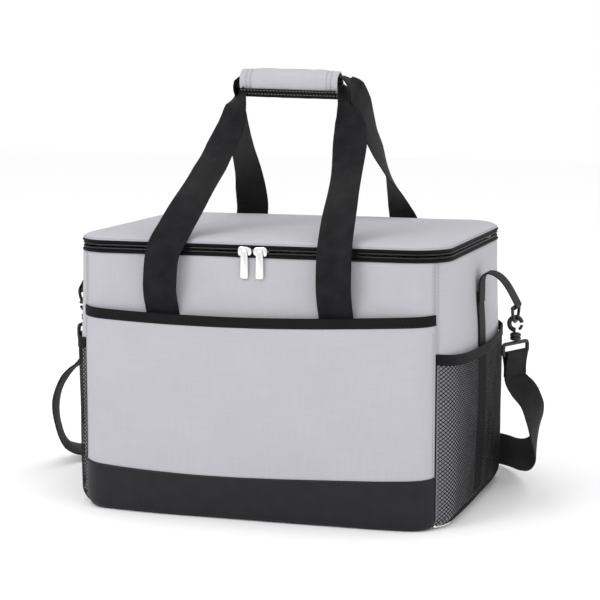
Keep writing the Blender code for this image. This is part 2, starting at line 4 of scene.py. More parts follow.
import bpy
import numpy as np
from mathutils import Matrix, Vector, noise


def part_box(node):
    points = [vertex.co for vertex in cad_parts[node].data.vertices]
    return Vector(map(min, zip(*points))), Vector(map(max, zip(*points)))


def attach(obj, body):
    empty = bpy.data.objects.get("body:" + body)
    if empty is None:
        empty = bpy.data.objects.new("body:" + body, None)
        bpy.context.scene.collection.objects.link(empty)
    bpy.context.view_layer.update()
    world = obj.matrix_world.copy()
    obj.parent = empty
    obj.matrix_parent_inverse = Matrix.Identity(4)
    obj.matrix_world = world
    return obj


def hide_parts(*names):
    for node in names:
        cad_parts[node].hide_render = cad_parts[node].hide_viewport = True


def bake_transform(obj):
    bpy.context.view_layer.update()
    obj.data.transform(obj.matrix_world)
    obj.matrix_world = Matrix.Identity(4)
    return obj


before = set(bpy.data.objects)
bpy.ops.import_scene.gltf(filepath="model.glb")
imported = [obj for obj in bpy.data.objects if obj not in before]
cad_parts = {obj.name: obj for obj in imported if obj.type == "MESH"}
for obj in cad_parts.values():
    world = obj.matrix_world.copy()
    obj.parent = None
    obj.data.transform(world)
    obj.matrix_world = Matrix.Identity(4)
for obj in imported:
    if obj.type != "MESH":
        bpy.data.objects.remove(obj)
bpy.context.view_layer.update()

# Sizes read from the frame
HALF_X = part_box("right_side_panel")[1].x
HALF_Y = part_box("back_panel")[1].y
WALL_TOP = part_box("back_panel")[1].z
BAND_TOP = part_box("front_base_band")[1].z
POCKET_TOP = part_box("front_pocket_binding")[1].z
MESH_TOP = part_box("right_mesh_pocket_binding")[1].z
LID_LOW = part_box("lid_shell")[0]
ZIP_MIDDLE = (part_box("zip_lower_coil")[1].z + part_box("zip_upper_coil")[0].z) / 2
GRIP_LOW, GRIP_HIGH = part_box("grip_wrap_base")
# Sizes chosen here
WEBBING = 0.038
WEBBING_THICK = 0.0016
ZIP_CORNER = 0.040
BODY_CORNER = 0.036
PROUD = 0.0075
BINDING = 0.0118
EDGE = 0.0006
# How near the upright seams the bindings end, as a share of half a wall
SEAM_U = 0.9975
BAND_FOOT = 0.0014
POCKET_STITCH = 0.0036

RIGHT, BACK, UP = Vector((1, 0, 0)), Vector((0, 1, 0)), Vector((0, 0, 1))


# ---------------- camera and light

def look_from(yaw, pitch, distance, target, lens):
    data = bpy.data.cameras.new("camera")
    data.sensor_width = 36
    data.lens = lens
    camera = bpy.data.objects.new("camera", data)
    bpy.context.scene.collection.objects.link(camera)
    back = Vector((math.sin(yaw) * math.cos(pitch), -math.cos(yaw) * math.cos(pitch), math.sin(pitch)))
    turn = back.to_track_quat("Z", "Y").to_matrix().to_4x4()
    camera.matrix_world = Matrix.Translation(Vector(target) + back * distance) @ turn
    bpy.context.scene.camera = camera


def area_light(name, place, target, size, power):
    data = bpy.data.lights.new(name, "AREA")
    data.shape = "DISK"
    data.size = size
    data.energy = power
    light = bpy.data.objects.new(name, data)
    light.location = place
    light.rotation_euler = (Vector(target) - Vector(place)).to_track_quat("-Z", "Y").to_euler()
    bpy.context.scene.collection.objects.link(light)


def studio():
    """White surroundings, three soft lights and a white floor."""
    bpy.context.scene.view_settings.view_transform = "Standard"
    world = bpy.data.worlds.new("studio")
    world.use_nodes = True
    background = world.node_tree.nodes["Background"]
    background.inputs["Color"].default_value = (1, 1, 1, 1)
    background.inputs["Strength"].default_value = 1.0
    bpy.context.scene.world = world
    for name, place, size, power in (("key", (-1.4, -2.2, 1.9), 1.6, 26), ("fill", (2.2, -1.2, 1.2), 1.8, 10),
                                     ("top", (0, 0.2, 2.4), 1.8, 6)):
        area_light(name, place, (0, 0, 0.2), size, power)
    mesh = bpy.data.meshes.new("floor")
    mesh.from_pydata([(-6, -6, 0), (6, -6, 0), (6, 6, 0), (-6, 6, 0)], [], [(0, 1, 2, 3)])
    mesh.materials.append(plain("floor", (0.97, 0.97, 0.97), 0.9))
    floor = bpy.data.objects.new("floor", mesh)
    bpy.context.scene.collection.objects.link(floor)


# ---------------- materials

def plain(name, colour, roughness, metallic=0.0, gloss=0.5):
    made = bpy.data.materials.new(name)
    made.use_nodes = True
    shader = made.node_tree.nodes["Principled BSDF"]
    shader.inputs["Base Color"].default_value = (*colour, 1)
    shader.inputs["Roughness"].default_value = roughness
    shader.inputs["Metallic"].default_value = metallic
    shader.inputs["Specular IOR Level"].default_value = gloss
    return made


def node(made, kind, **values):
    new = made.node_tree.nodes.new(kind)
    for key, value in values.items():
        setattr(new, key, value)
    return new


def join(made, first, second):
    made.node_tree.links.new(first, second)


def maths(made, operation, first, second=None):
    new = node(made, "ShaderNodeMath", operation=operation)
    for socket, value in zip(new.inputs, (first, second)):
        if value is None:
            continue
        if isinstance(value, (int, float)):
            socket.default_value = value
        else:
            join(made, value, socket)
    return new.outputs[0]


def tone(made, colour, spread, source, low=0.3, high=0.7):
    """Lets the colour wander by a share either way, following a 0 to 1 source."""
    ramp = node(made, "ShaderNodeValToRGB")
    for element, place, share in zip(ramp.color_ramp.elements, (low, high), (1 - spread, 1 + spread)):
        element.position = place
        element.color = (*(min(c * share, 1) for c in colour), 1)
    join(made, source, ramp.inputs[0])
    join(made, ramp.outputs[0], made.node_tree.nodes["Principled BSDF"].inputs["Base Color"])


def noise_at(made, scale, stretch=(1, 1, 1), detail=3.0, uv=True):
    coords = node(made, "ShaderNodeTexCoord")
    mapping = node(made, "ShaderNodeMapping")
    mapping.inputs["Scale"].default_value = stretch
    texture = node(made, "ShaderNodeTexNoise")
    texture.inputs["Scale"].default_value = scale
    texture.inputs["Detail"].default_value = detail
    join(made, coords.outputs["UV" if uv else "Object"], mapping.inputs[0])
    join(made, mapping.outputs[0], texture.inputs["Vector"])
    return texture.outputs[0]


def threads(made, across, along):
    """Two sets of threads in UV metres, each as a wave, with the pitches given."""
    coords = node(made, "ShaderNodeTexCoord")
    split = node(made, "ShaderNodeSeparateXYZ")
    join(made, coords.outputs["UV"], split.inputs[0])
    return [maths(made, "SINE", maths(made, "MULTIPLY", split.outputs[k], 2 * math.pi / pitch))
            for k, pitch in enumerate((across, along))]


def relief(made, *layers):
    """Bump from layers of (height, distance, strength), each over the one before."""
    normal = None
    for height, distance, strength in layers:
        new = node(made, "ShaderNodeBump")
        new.inputs["Distance"].default_value = distance
        new.inputs["Strength"].default_value = strength
        join(made, height, new.inputs["Height"])
        if normal is not None:
            join(made, normal, new.inputs["Normal"])
        normal = new.outputs[0]
    join(made, normal, made.node_tree.nodes["Principled BSDF"].inputs["Normal"])


def woven(name, colour, roughness, pitch, depth, spread, gloss=0.25):
    """Plain woven cloth: crossing threads, slubs along both ways, and a soft drift of tone."""
    made = plain(name, colour, roughness, gloss=gloss)
    first, second = threads(made, pitch, pitch)
    weave = maths(made, "MULTIPLY", first, second)
    slub = maths(made, "MULTIPLY", noise_at(made, 26, (1, 38, 1), 4), 0.4)
    for source, share in ((noise_at(made, 26, (38, 1, 1), 4), 0.35), (noise_at(made, 14, detail=2), 0.25)):
        slub = maths(made, "ADD", slub, maths(made, "MULTIPLY", source, share))
    tone(made, colour, spread, slub, 0.36, 0.64)
    relief(made, (slub, 0.0006, 0.5), (weave, depth, 0.8))
    return made


def webbing_material(name):
    """Black webbing: ribs across the strap, a raised line at each rib, and dusty high spots."""
    colour = (0.009, 0.009, 0.0105)
    made = plain(name, colour, 0.62, gloss=0.14)
    first, second = threads(made, 0.0021, 0.0017)
    ribs = maths(made, "ADD", maths(made, "MULTIPLY", first, second), maths(made, "MULTIPLY", second, 0.55))
    tone(made, colour, 0.45, noise_at(made, 60, detail=4))
    relief(made, (maths(made, "ADD", ribs, noise_at(made, 700, detail=2)), 0.00028, 1.0))
    return made


def coated_material(name):
    """Black coated cloth: a fine leathery grain under a low gloss."""
    colour = (0.008, 0.008, 0.0105)
    made = plain(name, colour, 0.48, gloss=0.26)
    soft = noise_at(made, 60)
    tone(made, colour, 0.2, soft)
    relief(made, (soft, 0.0009, 0.35), (noise_at(made, 900), 0.00022, 0.7))
    return made


def moulded_material(name, roughness=0.36):
    colour = (0.006, 0.006, 0.007)
    made = plain(name, colour, roughness, gloss=0.4)
    tone(made, colour, 0.12, noise_at(made, 90, detail=2, uv=False))
    relief(made, (noise_at(made, 1400, detail=2, uv=False), 0.00006, 0.5))
    return made


def chrome_material(name):
    made = plain(name, (0.82, 0.82, 0.84), 0.14, 1.0)
    relief(made, (noise_at(made, 500, detail=2, uv=False), 0.00002, 0.4))
    return made


def foil_material(name):
    """Silver foil lining: creased, a little cloudy."""
    colour = (0.72, 0.73, 0.75)
    made = plain(name, colour, 0.36, 0.75)
    creases = noise_at(made, 55, detail=6, uv=False)
    tone(made, colour, 0.08, creases)
    relief(made, (creases, 0.003, 0.6))
    return made


def foam_material(name):
    made = plain(name, (0.85, 0.85, 0.83), 0.9)
    relief(made, (noise_at(made, 450, detail=2, uv=False), 0.0006, 1.0))
    return made


MATERIALS = {
    "grey": woven("grey_weave", (0.475, 0.470, 0.505), 0.82, 0.0009, 0.00016, 0.05),
    "webbing": webbing_material("black_webbing"),
    "tape": woven("black_tape", (0.007, 0.007, 0.008), 0.7, 0.0012, 0.0002, 0.3, 0.12),
    "net": woven("black_net", (0.010, 0.010, 0.011), 0.65, 0.0006, 0.0001, 0.2, 0.12),
    "coated": coated_material("black_coated"),
    "plastic": moulded_material("black_moulded"),
    "coil": moulded_material("black_coil", 0.3),
    "chrome": chrome_material("chrome"),
    "foil": foil_material("foil"),
    "foam": foam_material("foam"),
    "thread_grey": woven("grey_thread", (0.36, 0.36, 0.39), 0.7, 0.0005, 0.0001, 0.1),
    "thread_black": woven("black_thread", (0.016, 0.016, 0.018), 0.55, 0.0005, 0.0001, 0.1),
}


# ---------------- mesh helpers

def grid_faces(rows, size, wrap=False, first=0):
    """Quads between rows of size points each, numbered from first. With wrap each row is a ring."""
    faces = []
    for j in range(rows - 1):
        for i in range(size if wrap else size - 1):
            a = first + j * size + i
            b = first + j * size + (i + 1) % size
            faces.append((a, b, b + size, a + size))
    return faces


def end_faces(rows, size, first=0):
    """Faces that close the first and the last of some rings."""
    last = first + (rows - 1) * size
    return [tuple(range(first, first + size))[::-1], tuple(range(last, last + size))]


def thicken(made, thickness, offset=-1):
    """Gives a sheet its thickness: behind its faces at -1, in front at 1, both at 0."""
    solid = made.modifiers.new("Thickness", "SOLIDIFY")
    solid.thickness = thickness
    solid.offset = offset


def round_about(angle, radius=1.0):
    """A pair of places on a circle, from an angle in degrees."""
    turn = math.radians(angle)
    return radius * math.cos(turn), radius * math.sin(turn)


def piece_from(name, points, faces, look, body, replaced, uvs, soft=True):
    """A piece that rides on a body, or on none when body is None, with its UVs in metres."""
    mesh = bpy.data.meshes.new(name)
    mesh.from_pydata([tuple(p) for p in points], [], faces)
    layer = mesh.uv_layers.new(name="metres")
    for loop in mesh.loops:
        layer.data[loop.index].uv = uvs[loop.vertex_index]
    if soft:
        mesh.shade_smooth()
    made = bpy.data.objects.new(name, mesh)
    mesh.materials.append(MATERIALS[look])
    bpy.context.scene.collection.objects.link(made)
    if body is not None:
        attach(made, body)
    if replaced:
        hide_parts(*replaced)
    return made


def sheet_piece(name, rows, look, body, replaced, thick):
    """A sheet from rows of points. It gets its thickness away from its normal side."""
    points = [p for row in rows for p in row]
    faces = grid_faces(len(rows), len(rows[0]))
    made = piece_from(name, points, faces, look, body, replaced, metre_uvs(rows))
    thicken(made, thick)
    return made


def metre_uvs(rows):
    """UVs in metres: across from the middle of each row, and along from the first row."""
    grid = np.array([[tuple(p) for p in row] for row in rows])
    across, along = np.zeros(grid.shape[:2]), np.zeros(grid.shape[:2])
    across[:, 1:] = np.linalg.norm(np.diff(grid, axis=1), axis=2).cumsum(axis=1)
    along[1:] = np.linalg.norm(np.diff(grid, axis=0), axis=2).cumsum(axis=0)
    return list(zip((across - across[:, -1:] / 2).ravel(), along.ravel()))


def sweep(name, stations, section, look, body, replaced=(), closed=False):
    """A closed body: the section, as (out, up) pairs, carried along (origin, out, up) stations.
    The section may be a function of the station's index."""
    points, uvs, length = [], [], 0.0
    before = stations[0][0]
    for index, (origin, out, up) in enumerate(stations):
        shape = section(index) if callable(section) else section
        length += (origin - before).length
        before = origin
        run, last = 0.0, shape[0]
        for a, b in shape:
            points.append(origin + out * a + up * b)
            run += math.hypot(a - last[0], b - last[1])
            last = (a, b)
            uvs.append((run, length))
    size, count = len(shape), len(stations)
    faces = grid_faces(count, size, True)
    if closed:
        start = (count - 1) * size
        faces += [(start + i, start + (i + 1) % size, (i + 1) % size, i) for i in range(size)]
    else:
        faces += end_faces(count, size)
    return closed_piece(name, points, faces, look, body, replaced, uvs, 50)


def outward(mesh):
    """Turns the faces of a closed mesh to face out."""
    mesh.calc_loop_triangles()
    corners = [[mesh.vertices[i].co for i in face.vertices] for face in mesh.loop_triangles]
    if sum(a.dot(b.cross(c)) for a, b, c in corners) < 0:
        mesh.flip_normals()


def closed_piece(name, points, faces, look, body, replaced, uvs, sharp=None):
    """A closed piece with outward faces. Its edges over the sharp angle, in degrees, stay sharp."""
    made = piece_from(name, points, faces, look, body, replaced, uvs)
    if sharp is not None:
        made.data.set_sharp_from_angle(angle=math.radians(sharp))
    outward(made.data)
    return made


def strip_section(width, thick, edge=EDGE, crown=0.0, steps=6):
    """A flat strip's section with soft edges: out is its thickness, up is its width."""
    half_w, half_t = width / 2, thick / 2
    points = []
    for sign in (1, -1):
        for step in range(steps + 1):
            share = -1 + 2 * step / steps
            up = share * (half_w - edge) * sign
            points.append((sign * half_t + crown * (1 - share * share), up))
        points.append((0, sign * half_w))
    return points


def round_section(radius, sides=10):
    return [round_about(360 * k / sides, radius) for k in range(sides)]


def smooth_route(points, spacing):
    """A smooth curve through the points, and each of its places as a share of the points' numbers."""
    points = [Vector(p) for p in points]
    ends = [points[0] * 2 - points[1]] + points + [points[-1] * 2 - points[-2]]
    made, shares = [], []
    for index in range(1, len(ends) - 2):
        before, start, end, after = ends[index - 1:index + 3]
        count = max(1, round((end - start).length / spacing))
        for step in range(count):
            t = step / count
            made.append(0.5 * (2 * start + (end - before) * t
                               + (2 * before - 5 * start + 4 * end - after) * t ** 2
                               + (3 * start - before - 3 * end + after) * t ** 3))
            shares.append(index - 1 + t)
    return made + [points[-1]], shares + [len(points) - 1]


def between(values, share):
    """A value at a share of the values' numbers."""
    index = min(int(share), len(values) - 2)
    t = share - index
    if isinstance(values[0], (int, float)):
        return values[index] * (1 - t) + values[index + 1] * t
    return Vector(values[index]).lerp(Vector(values[index + 1]), t)


def headings(route, closed=False):
    """The way ahead at each place of a route, from the places on both sides of it."""
    last = len(route) - 1
    made = []
    for k, place in enumerate(route):
        before = route[k - 1] if closed or k > 0 else place
        after = route[(k + 1) % len(route)] if closed or k < last else place
        made.append((after - before).normalized())
    return made


def ribbon_stations(points, looks, spacing=0.004):
    """Stations for flat webbing: out is the way its face looks, up is across its width."""
    route, shares = smooth_route(points, spacing)
    stations = []
    for place, ahead, share in zip(route, headings(route), shares):
        side = ahead.cross(between(looks, share).normalized()).normalized()
        stations.append((place, side.cross(ahead).normalized(), side))
    return stations, shares


def flat_stations(route, across, closed=False):
    """Stations along a flat route. Up is the one way across it."""
    return [(place, across.cross(ahead).normalized(), across)
            for place, ahead in zip(route, headings(route, closed))]


def stitches(name, places, look, body, length=0.0026, radius=0.00032):
    """A row of short thread stitches. Each place is (middle, direction, out)."""
    points, faces, uvs = [], [], []
    sides = 5
    for middle, ahead, out in places:
        side = ahead.cross(out).normalized()
        base = len(points)
        for share, swell in ((-0.5, 0.35), (-0.3, 1.0), (0.3, 1.0), (0.5, 0.35)):
            for k in range(sides):
                a, b = round_about(360 * k / sides, radius * swell)
                points.append(middle + ahead * (length * share) + out * a + side * b)
                uvs.append((k * radius, share * length))
        faces += grid_faces(4, sides, True, base) + end_faces(4, sides, base)
    return closed_piece(name, points, faces, look, body, (), uvs)


def stitch_line(stations, out, up, spacing=0.0038):
    """Stitch places along stations, at an offset out and up from each."""
    route = [origin + o * out + u * up for origin, o, u in stations]
    places, waited = [], spacing
    for index in range(1, len(route)):
        step = route[index] - route[index - 1]
        waited += step.length
        if waited >= spacing and step.length > 0:
            waited = 0.0
            places.append((route[index], step.normalized(), stations[index][1]))
    return places


# ---------------- the bag's soft shape

SIDES = {
    "front": (-BACK, HALF_X, HALF_Y), "right": (RIGHT, HALF_Y, HALF_X),
    "back": (BACK, HALF_X, HALF_Y), "left": (-RIGHT, HALF_Y, HALF_X),
}
BULGE = {"front": 0.0045, "back": 0.0050, "left": 0.0058, "right": 0.0058}
FOOT_ROUND = 0.007
# The feet of the end walls are rounded off more than those of the front and back
SIDE_FOOT = 0.011


def ease(value, low, high):
    """A smooth step from 0 to 1 between two values."""
    t = min(max((value - low) / (high - low), 0), 1)
    return t * t * (3 - 2 * t)


def corner_radius(z):
    return BODY_CORNER + (ZIP_CORNER - BODY_CORNER) * ease(z, 0.17, WALL_TOP - 0.006)


def ripple(point, size, seed):
    """Smooth noise, from -1 to 1, whose waves are about the given size."""
    return noise.noise(point / size + Vector((seed, seed * 1.7, seed * 0.6)))


def surface(side, u, z, out=0.0):
    """A point of the bag's soft outer face and its outward direction. u runs from seam to seam, -1 to 1."""
    away, half_long, half_deep = SIDES[side]
    radius = corner_radius(z)
    straight = half_long - radius
    reach = straight + radius * math.pi / 4
    run = u * reach
    if abs(run) <= straight:
        along, deep, angle = run, half_deep, 0.0
    else:
        angle = math.copysign((abs(run) - straight) / radius, run)
        along = math.copysign(straight, run) + radius * math.sin(angle)
        deep = half_deep - radius * (1 - math.cos(angle))
    ahead = UP.cross(away)
    normal = (away * math.cos(angle) + ahead * math.sin(angle)).normalized()
    point = ahead * along + away * deep + UP * z
    push = BULGE[side] * (1 - u * u) * math.sin(math.pi * min(max(z / WALL_TOP, 0), 1)) ** 0.8
    push += 0.0016 * (1 - abs(u) ** 3) * (1 - ease(z, 0.17, WALL_TOP))
    round_off = FOOT_ROUND + SIDE_FOOT * normal.x * normal.x
    push -= round_off * 0.6 * max(0.0, 1 - z / round_off) ** 2
    soft = 0.0011 * ripple(point, 0.085, 3.1) + 0.0005 * ripple(point, 0.030, 8.4)
    seam = math.exp(-((1 - abs(u)) * reach / 0.006) ** 2)
    push += soft * (1 - seam) - 0.0006 * seam
    push = max(push, -0.0002) if z > round_off else push
    return point + normal * (push + out), normal


def pocket_out(u, proud=PROUD):
    """How far a pocket stands off the wall."""
    return 0.0009 + proud * (1 - abs(u) ** 5)


def pocket_edge(u):
    """The height of the front pocket's top, which sags between the seams and climbs to the right."""
    return POCKET_TOP - 0.0004 - 0.0042 * (1 - u * u) ** 0.8 + 0.0046 * ease(u, -0.2, 1.0)


def band_edge(u):
    return BAND_TOP - 0.0065 * (1 - u * u) ** 0.7 + 0.0040 * ease(u, -0.4, 0.7)


def net_edge(u):
    return MESH_TOP + 0.0015 - 0.0075 * (1 - abs(u) ** 2.5)


def even(count, low=-1.0, high=1.0):
    return [low + (high - low) * k / (count - 1) for k in range(count)]


def panel_rows(side, low, high, out, across, upward):
    """Rows of points between two heights. low, high and out may be functions of u."""
    def at(value, u):
        return value(u) if callable(value) else value

    rows = []
    for t in even(upward, 0.0, 1.0):
        rows.append([surface(side, u, at(low, u) + (at(high, u) - at(low, u)) * t, at(out, u))[0]
                     for u in even(across)])
    return rows


def make_shell():
    """The grey walls, the base bands, the pocket and its binding."""
    for side, kind, count in (("front", "panel", 90), ("back", "panel", 90),
                              ("left", "side_panel", 64), ("right", "side_panel", 64)):
        rows = panel_rows(side, 0.0016, WALL_TOP, 0.0, count, 72)
        sheet_piece(f"{side}_{kind}_cloth", rows, "grey", "bag_body", (f"{side}_{kind}",), 0.0011)
    rows = panel_rows("back", BAND_FOOT, band_edge, 0.0014, 90, 20)
    sheet_piece("back_band_cloth", rows, "coated", "bag_body", ("back_base_band",), 0.0009)
    make_front_pocket()
    make_bottom()
    edge_seams()


def make_front_pocket():
    """The front base band, the pocket above it, and the binding along the pocket's mouth."""
    rows = panel_rows("front", BAND_FOOT, band_edge, lambda u: pocket_out(u) + 0.0006, 96, 20)
    sheet_piece("front_band_cloth", rows, "coated", "bag_body", ("front_base_band",), 0.0014)
    rows = panel_rows("front", lambda u: band_edge(u) - 0.004, lambda u: pocket_edge(u) - BINDING * 0.6,
                      lambda u: pocket_out(u) - 0.0003, 96, 52)
    sheet_piece("front_pocket_cloth", rows, "grey", "bag_body", ("front_pocket_panel",), 0.0008)
    stations = binding_stations("front", pocket_edge, BINDING, 180, lambda u: pocket_out(u) - 0.0006)
    sweep("front_pocket_edge_binding", stations, strip_section(BINDING, 0.0026, 0.0009), "tape",
          "bag_body", ("front_pocket_binding",))
    places = stitch_line(stations, 0.00135, -BINDING * 0.36, POCKET_STITCH)
    stitches("front_binding_stitches", places, "thread_black", "bag_body")
    stations = binding_stations("front", band_edge, 0, 180, lambda u: pocket_out(u) + 0.0006)
    places = stitch_line(stations, 0.00012, -0.0022, POCKET_STITCH)
    stitches("front_band_stitches", places, "thread_black", "bag_body")


def binding_stations(side, edge, height, count, out):
    """Stations along a pocket's edge, for a binding of that height."""
    stations = []
    for u in even(count, -SEAM_U, SEAM_U):
        point, normal = surface(side, u, edge(u) - height / 2, out(u))
        stations.append((point, normal, UP))
    return stations


def upright_stations(side, u, low, high, count, out):
    """Stations up a wall at u, between two heights."""
    stations = []
    for z in even(count, low, high):
        point, normal = surface(side, u, z, out)
        stations.append((point, normal, UP.cross(normal)))
    return stations


def across_line(station, half):
    """A line across a strap at one of its stations."""
    origin, out, up = station
    return [(origin + up * across, out, out.cross(up)) for across in even(30, -half, half)]


def make_bottom():
    """The bottom panel: a ring drawn in towards the middle, and a thickness."""
    loop = []
    for side in ("front", "right", "back", "left"):
        loop += [surface(side, u, 0.0016, -0.0006)[0] for u in even(40)[:-1]]
    points = [Vector((p.x, p.y, 0.0006)) for p in loop]
    points += [Vector((p.x * 0.9, p.y * 0.9, 0.0004)) for p in loop]
    count = len(loop)
    faces = [face[::-1] for face in grid_faces(2, count, True) + end_faces(2, count)[1:]]
    made = piece_from("bottom_cloth", points, faces, "coated", "bag_body", ("bottom_panel",),
                      [(p.x, p.y) for p in points])
    thicken(made, 0.0008)


def edge_seams():
    """The four upright seams: a thin rolled edge, and stitches beside it on both walls. Below the nets' tops
    the edge is black tape, standing partly for the nets' dark edges and partly for painted shadow along the
    seam.
    """
    above_foot = {"front": POCKET_TOP + 0.004, "back": BAND_TOP + 0.004,
                  "left": MESH_TOP + 0.006, "right": MESH_TOP + 0.006}
    places = []
    for first, second in (("front", "right"), ("right", "back"), ("back", "left"), ("left", "front")):
        stations = []
        for z in even(110, 0.003, WALL_TOP - 0.001):
            point, one = surface(first, 1, z)
            out = (one + surface(second, -1, z)[1]).normalized()
            stations.append((point, out, UP.cross(out)))
        name = f"{first}_{second}_seam"
        change = sum(place.z < MESH_TOP for place, _, _ in stations)
        sweep(name, stations[change:], round_section(0.0011, 8), "grey", "bag_body")
        # Black foot of the seam: partly the nets' real dark edges, partly a painted shadow along the seam
        # beside the nets
        sweep(f"{name}_foot", stations[:change + 1], round_section(0.0012, 8), "tape", "bag_body")
        for side, u in ((first, 0.982), (second, -0.974)):
            line = upright_stations(side, u, above_foot[side], WALL_TOP - 0.004, 90, 0.0001)
            places += stitch_line(line, 0, 0)
    stitches("seam_stitches", places, "thread_grey", "bag_body")
    for name, u in (("left", -0.980), ("right", 0.980)):
        line = upright_stations("front", u, BAND_TOP + 0.004, POCKET_TOP - BINDING - 0.003, 120,
                                pocket_out(u))
        stitches(f"pocket_{name}_stitches", stitch_line(line, 0, 0), "thread_grey", "bag_body")


# ---------------- net pockets

NET_ACROSS = 0.0050
NET_UP = 0.0044
NET_FOOT = 0.0018
# The share of a diamond that is thread
NET_THREAD = 0.25


def make_net(side):
    """A net pocket: diamonds of real thread, each hole cut out of the stretched sheet."""
    half_long = SIDES[side][1]
    width = 2 * (half_long - BODY_CORNER + BODY_CORNER * math.pi / 4)
    columns = int(width / NET_ACROSS)
    rows = int((MESH_TOP - 0.004) / NET_UP)
    points, uvs, faces, index = [], [], [], {}

    def add(a, b):
        u = min(max(-1 + 2 * a / columns, -SEAM_U), SEAM_U)
        top = net_edge(u) - BINDING * 0.5
        z = NET_FOOT + (top - NET_FOOT) * min(max(b / rows, 0), 1)
        points.append(surface(side, u, z, net_out(u) + 0.0002)[0])
        uvs.append((a * NET_ACROSS, b * NET_UP))
        return len(points) - 1

    def corner(a, b):
        if (a, b) not in index:
            index[a, b] = add(a, b)
        return index[a, b]

    for row in range(1, 2 * rows):
        b = row / 2
        for column in range(columns + 1):
            a = column + (0.5 if row % 2 else 0.0)
            if not 0.5 <= a <= columns - 0.5:
                continue
            ring = ((a - 0.5, b), (a, b - 0.5), (a + 0.5, b), (a, b + 0.5))
            outer = [corner(*p) for p in ring]
            inner = [add(a + (p - a) * (1 - NET_THREAD), b + (q - b) * (1 - NET_THREAD)) for p, q in ring]
            for k in range(4):
                after = (k + 1) % 4
                faces.append((outer[k], outer[after], inner[after], inner[k]))
    made = piece_from(f"{side}_net", points, faces, "net", "bag_body", (f"{side}_mesh_pocket",), uvs, False)
    thicken(made, 0.00045, 0)


def net_out(u):
    """How far a net's binding stands off the wall."""
    return pocket_out(u, 0.0062) - 0.0006


def make_side_pockets():
    """The two net pockets, each with a binding at its mouth and a hem at its foot."""
    for side in ("left", "right"):
        make_net(side)
        stations = binding_stations(side, net_edge, BINDING, 130, net_out)
        sweep(f"{side}_net_binding", stations, strip_section(BINDING, 0.0024, 0.0009), "tape",
              "bag_body", (f"{side}_mesh_pocket_binding",))
        places = stitch_line(stations, 0.00125, -BINDING * 0.34, POCKET_STITCH)
        places += stitch_line(stations, 0.00125, BINDING * 0.30, POCKET_STITCH)
        stitches(f"{side}_net_stitches", places, "thread_black", "bag_body")
        hem = binding_stations(side, lambda u: 0.0030, 0.0018, 130, net_out)
        sweep(f"{side}_net_hem", hem, strip_section(0.0018, 0.0016, 0.0005), "tape", "bag_body")


# ---------------- zip and lid

def rounded_path(inset, count, whole=True):
    """Points and outward directions at equal steps along the zip line: all the way round, or from
    the back left corner round the front to the back right corner."""
    radius = ZIP_CORNER - inset
    arcs = ((-1, 1, 135, 180), (-1, -1, 180, 270), (1, -1, 270, 360), (1, 1, 360, 405),
            (1, 1, 405, 450), (-1, 1, 450, 495))
    centres = [Vector((x * (HALF_X - ZIP_CORNER), y * (HALF_Y - ZIP_CORNER), 0)) for x, y, _, _ in arcs]
    legs = []
    for k, (_, _, first, last) in enumerate(arcs):
        centre = centres[k]
        gap = centres[(k + 1) % len(arcs)] - centre
        legs.append((centre, first, last, radius * math.radians(last - first), Vector()))
        if gap.length > 0:
            legs.append((centre, last, last, gap.length, gap))
    reach = sum(leg[3] for leg in (legs if whole else legs[:7]))
    made = []
    for k in range(count):
        travel = reach * k / (count if whole else count - 1)
        for centre, first, last, length, gap in legs:
            if travel <= length + 1e-9:
                break
            travel -= length
        share = travel / length
        out = Vector((*round_about(first + (last - first) * share), 0))
        made.append((centre + out * radius + gap * share, out))
    return made


def zip_stations(z, inset, count):
    return [(point + UP * z, out, UP) for point, out in rounded_path(inset, count, False)]


def coil_section(index):
    return round_section((0.00115, 0.00085)[index % 2], 8)


def make_zip():
    """Zip tapes, piped edges and coils, on the body and on the lid, and the hinge strip behind."""
    for name, body, sign in (("lower", "bag_body", -1), ("upper", "lid", 1)):
        for part, away, inset, count, section, look, replaced in (
                ("teeth", 0.00185, 0.0008, 1500, coil_section, "coil", (f"zip_{name}_coil",)),
                ("cloth_tape", 0.0036, 0.0012, 320, strip_section(0.0044, 0.0009, 0.0003), "tape",
                 (f"zip_{name}_tape",)),
                ("piping", 0.0053, 0.0002, 320, round_section(0.0014), "tape", ())):
            stations = zip_stations(ZIP_MIDDLE + sign * away, inset, count)
            sweep(f"zip_{name}_{part}", stations, section, look, body, replaced)
    hinge = []
    for u in even(80, -0.93, 0.93):
        point, normal = surface("back", u, ZIP_MIDDLE)
        hinge.append((point + normal * 0.0012, normal, UP))
    strip = sweep("hinge_cloth", hinge, strip_section(0.0185, 0.0014, 0.0005, 0, 8), "tape", None,
                  ("back_hinge_strip", "lid_hinge_hem"))
    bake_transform(strip)


# How the lid rises from its rim: distance in from the outline, and height above the rim
LID_PROFILE = (
    (0.0, 0.0), (0.0003, 0.0014), (0.0011, 0.0029), (0.0028, 0.0044), (0.0056, 0.0057),
    (0.0095, 0.0066), (0.015, 0.0073), (0.022, 0.0078), (0.029, 0.0081), (0.036, 0.0083),
)
LID_CROWN = 0.0014
# The rings inside the profile, as shares of its last ring
LID_SHARES = (0.93, 0.85, 0.76, 0.66, 0.55, 0.43, 0.30, 0.16, 0.05)
LID_COUNT = 220
LINING_FLOOR = 0.0085
LINING_THICK = 0.0006


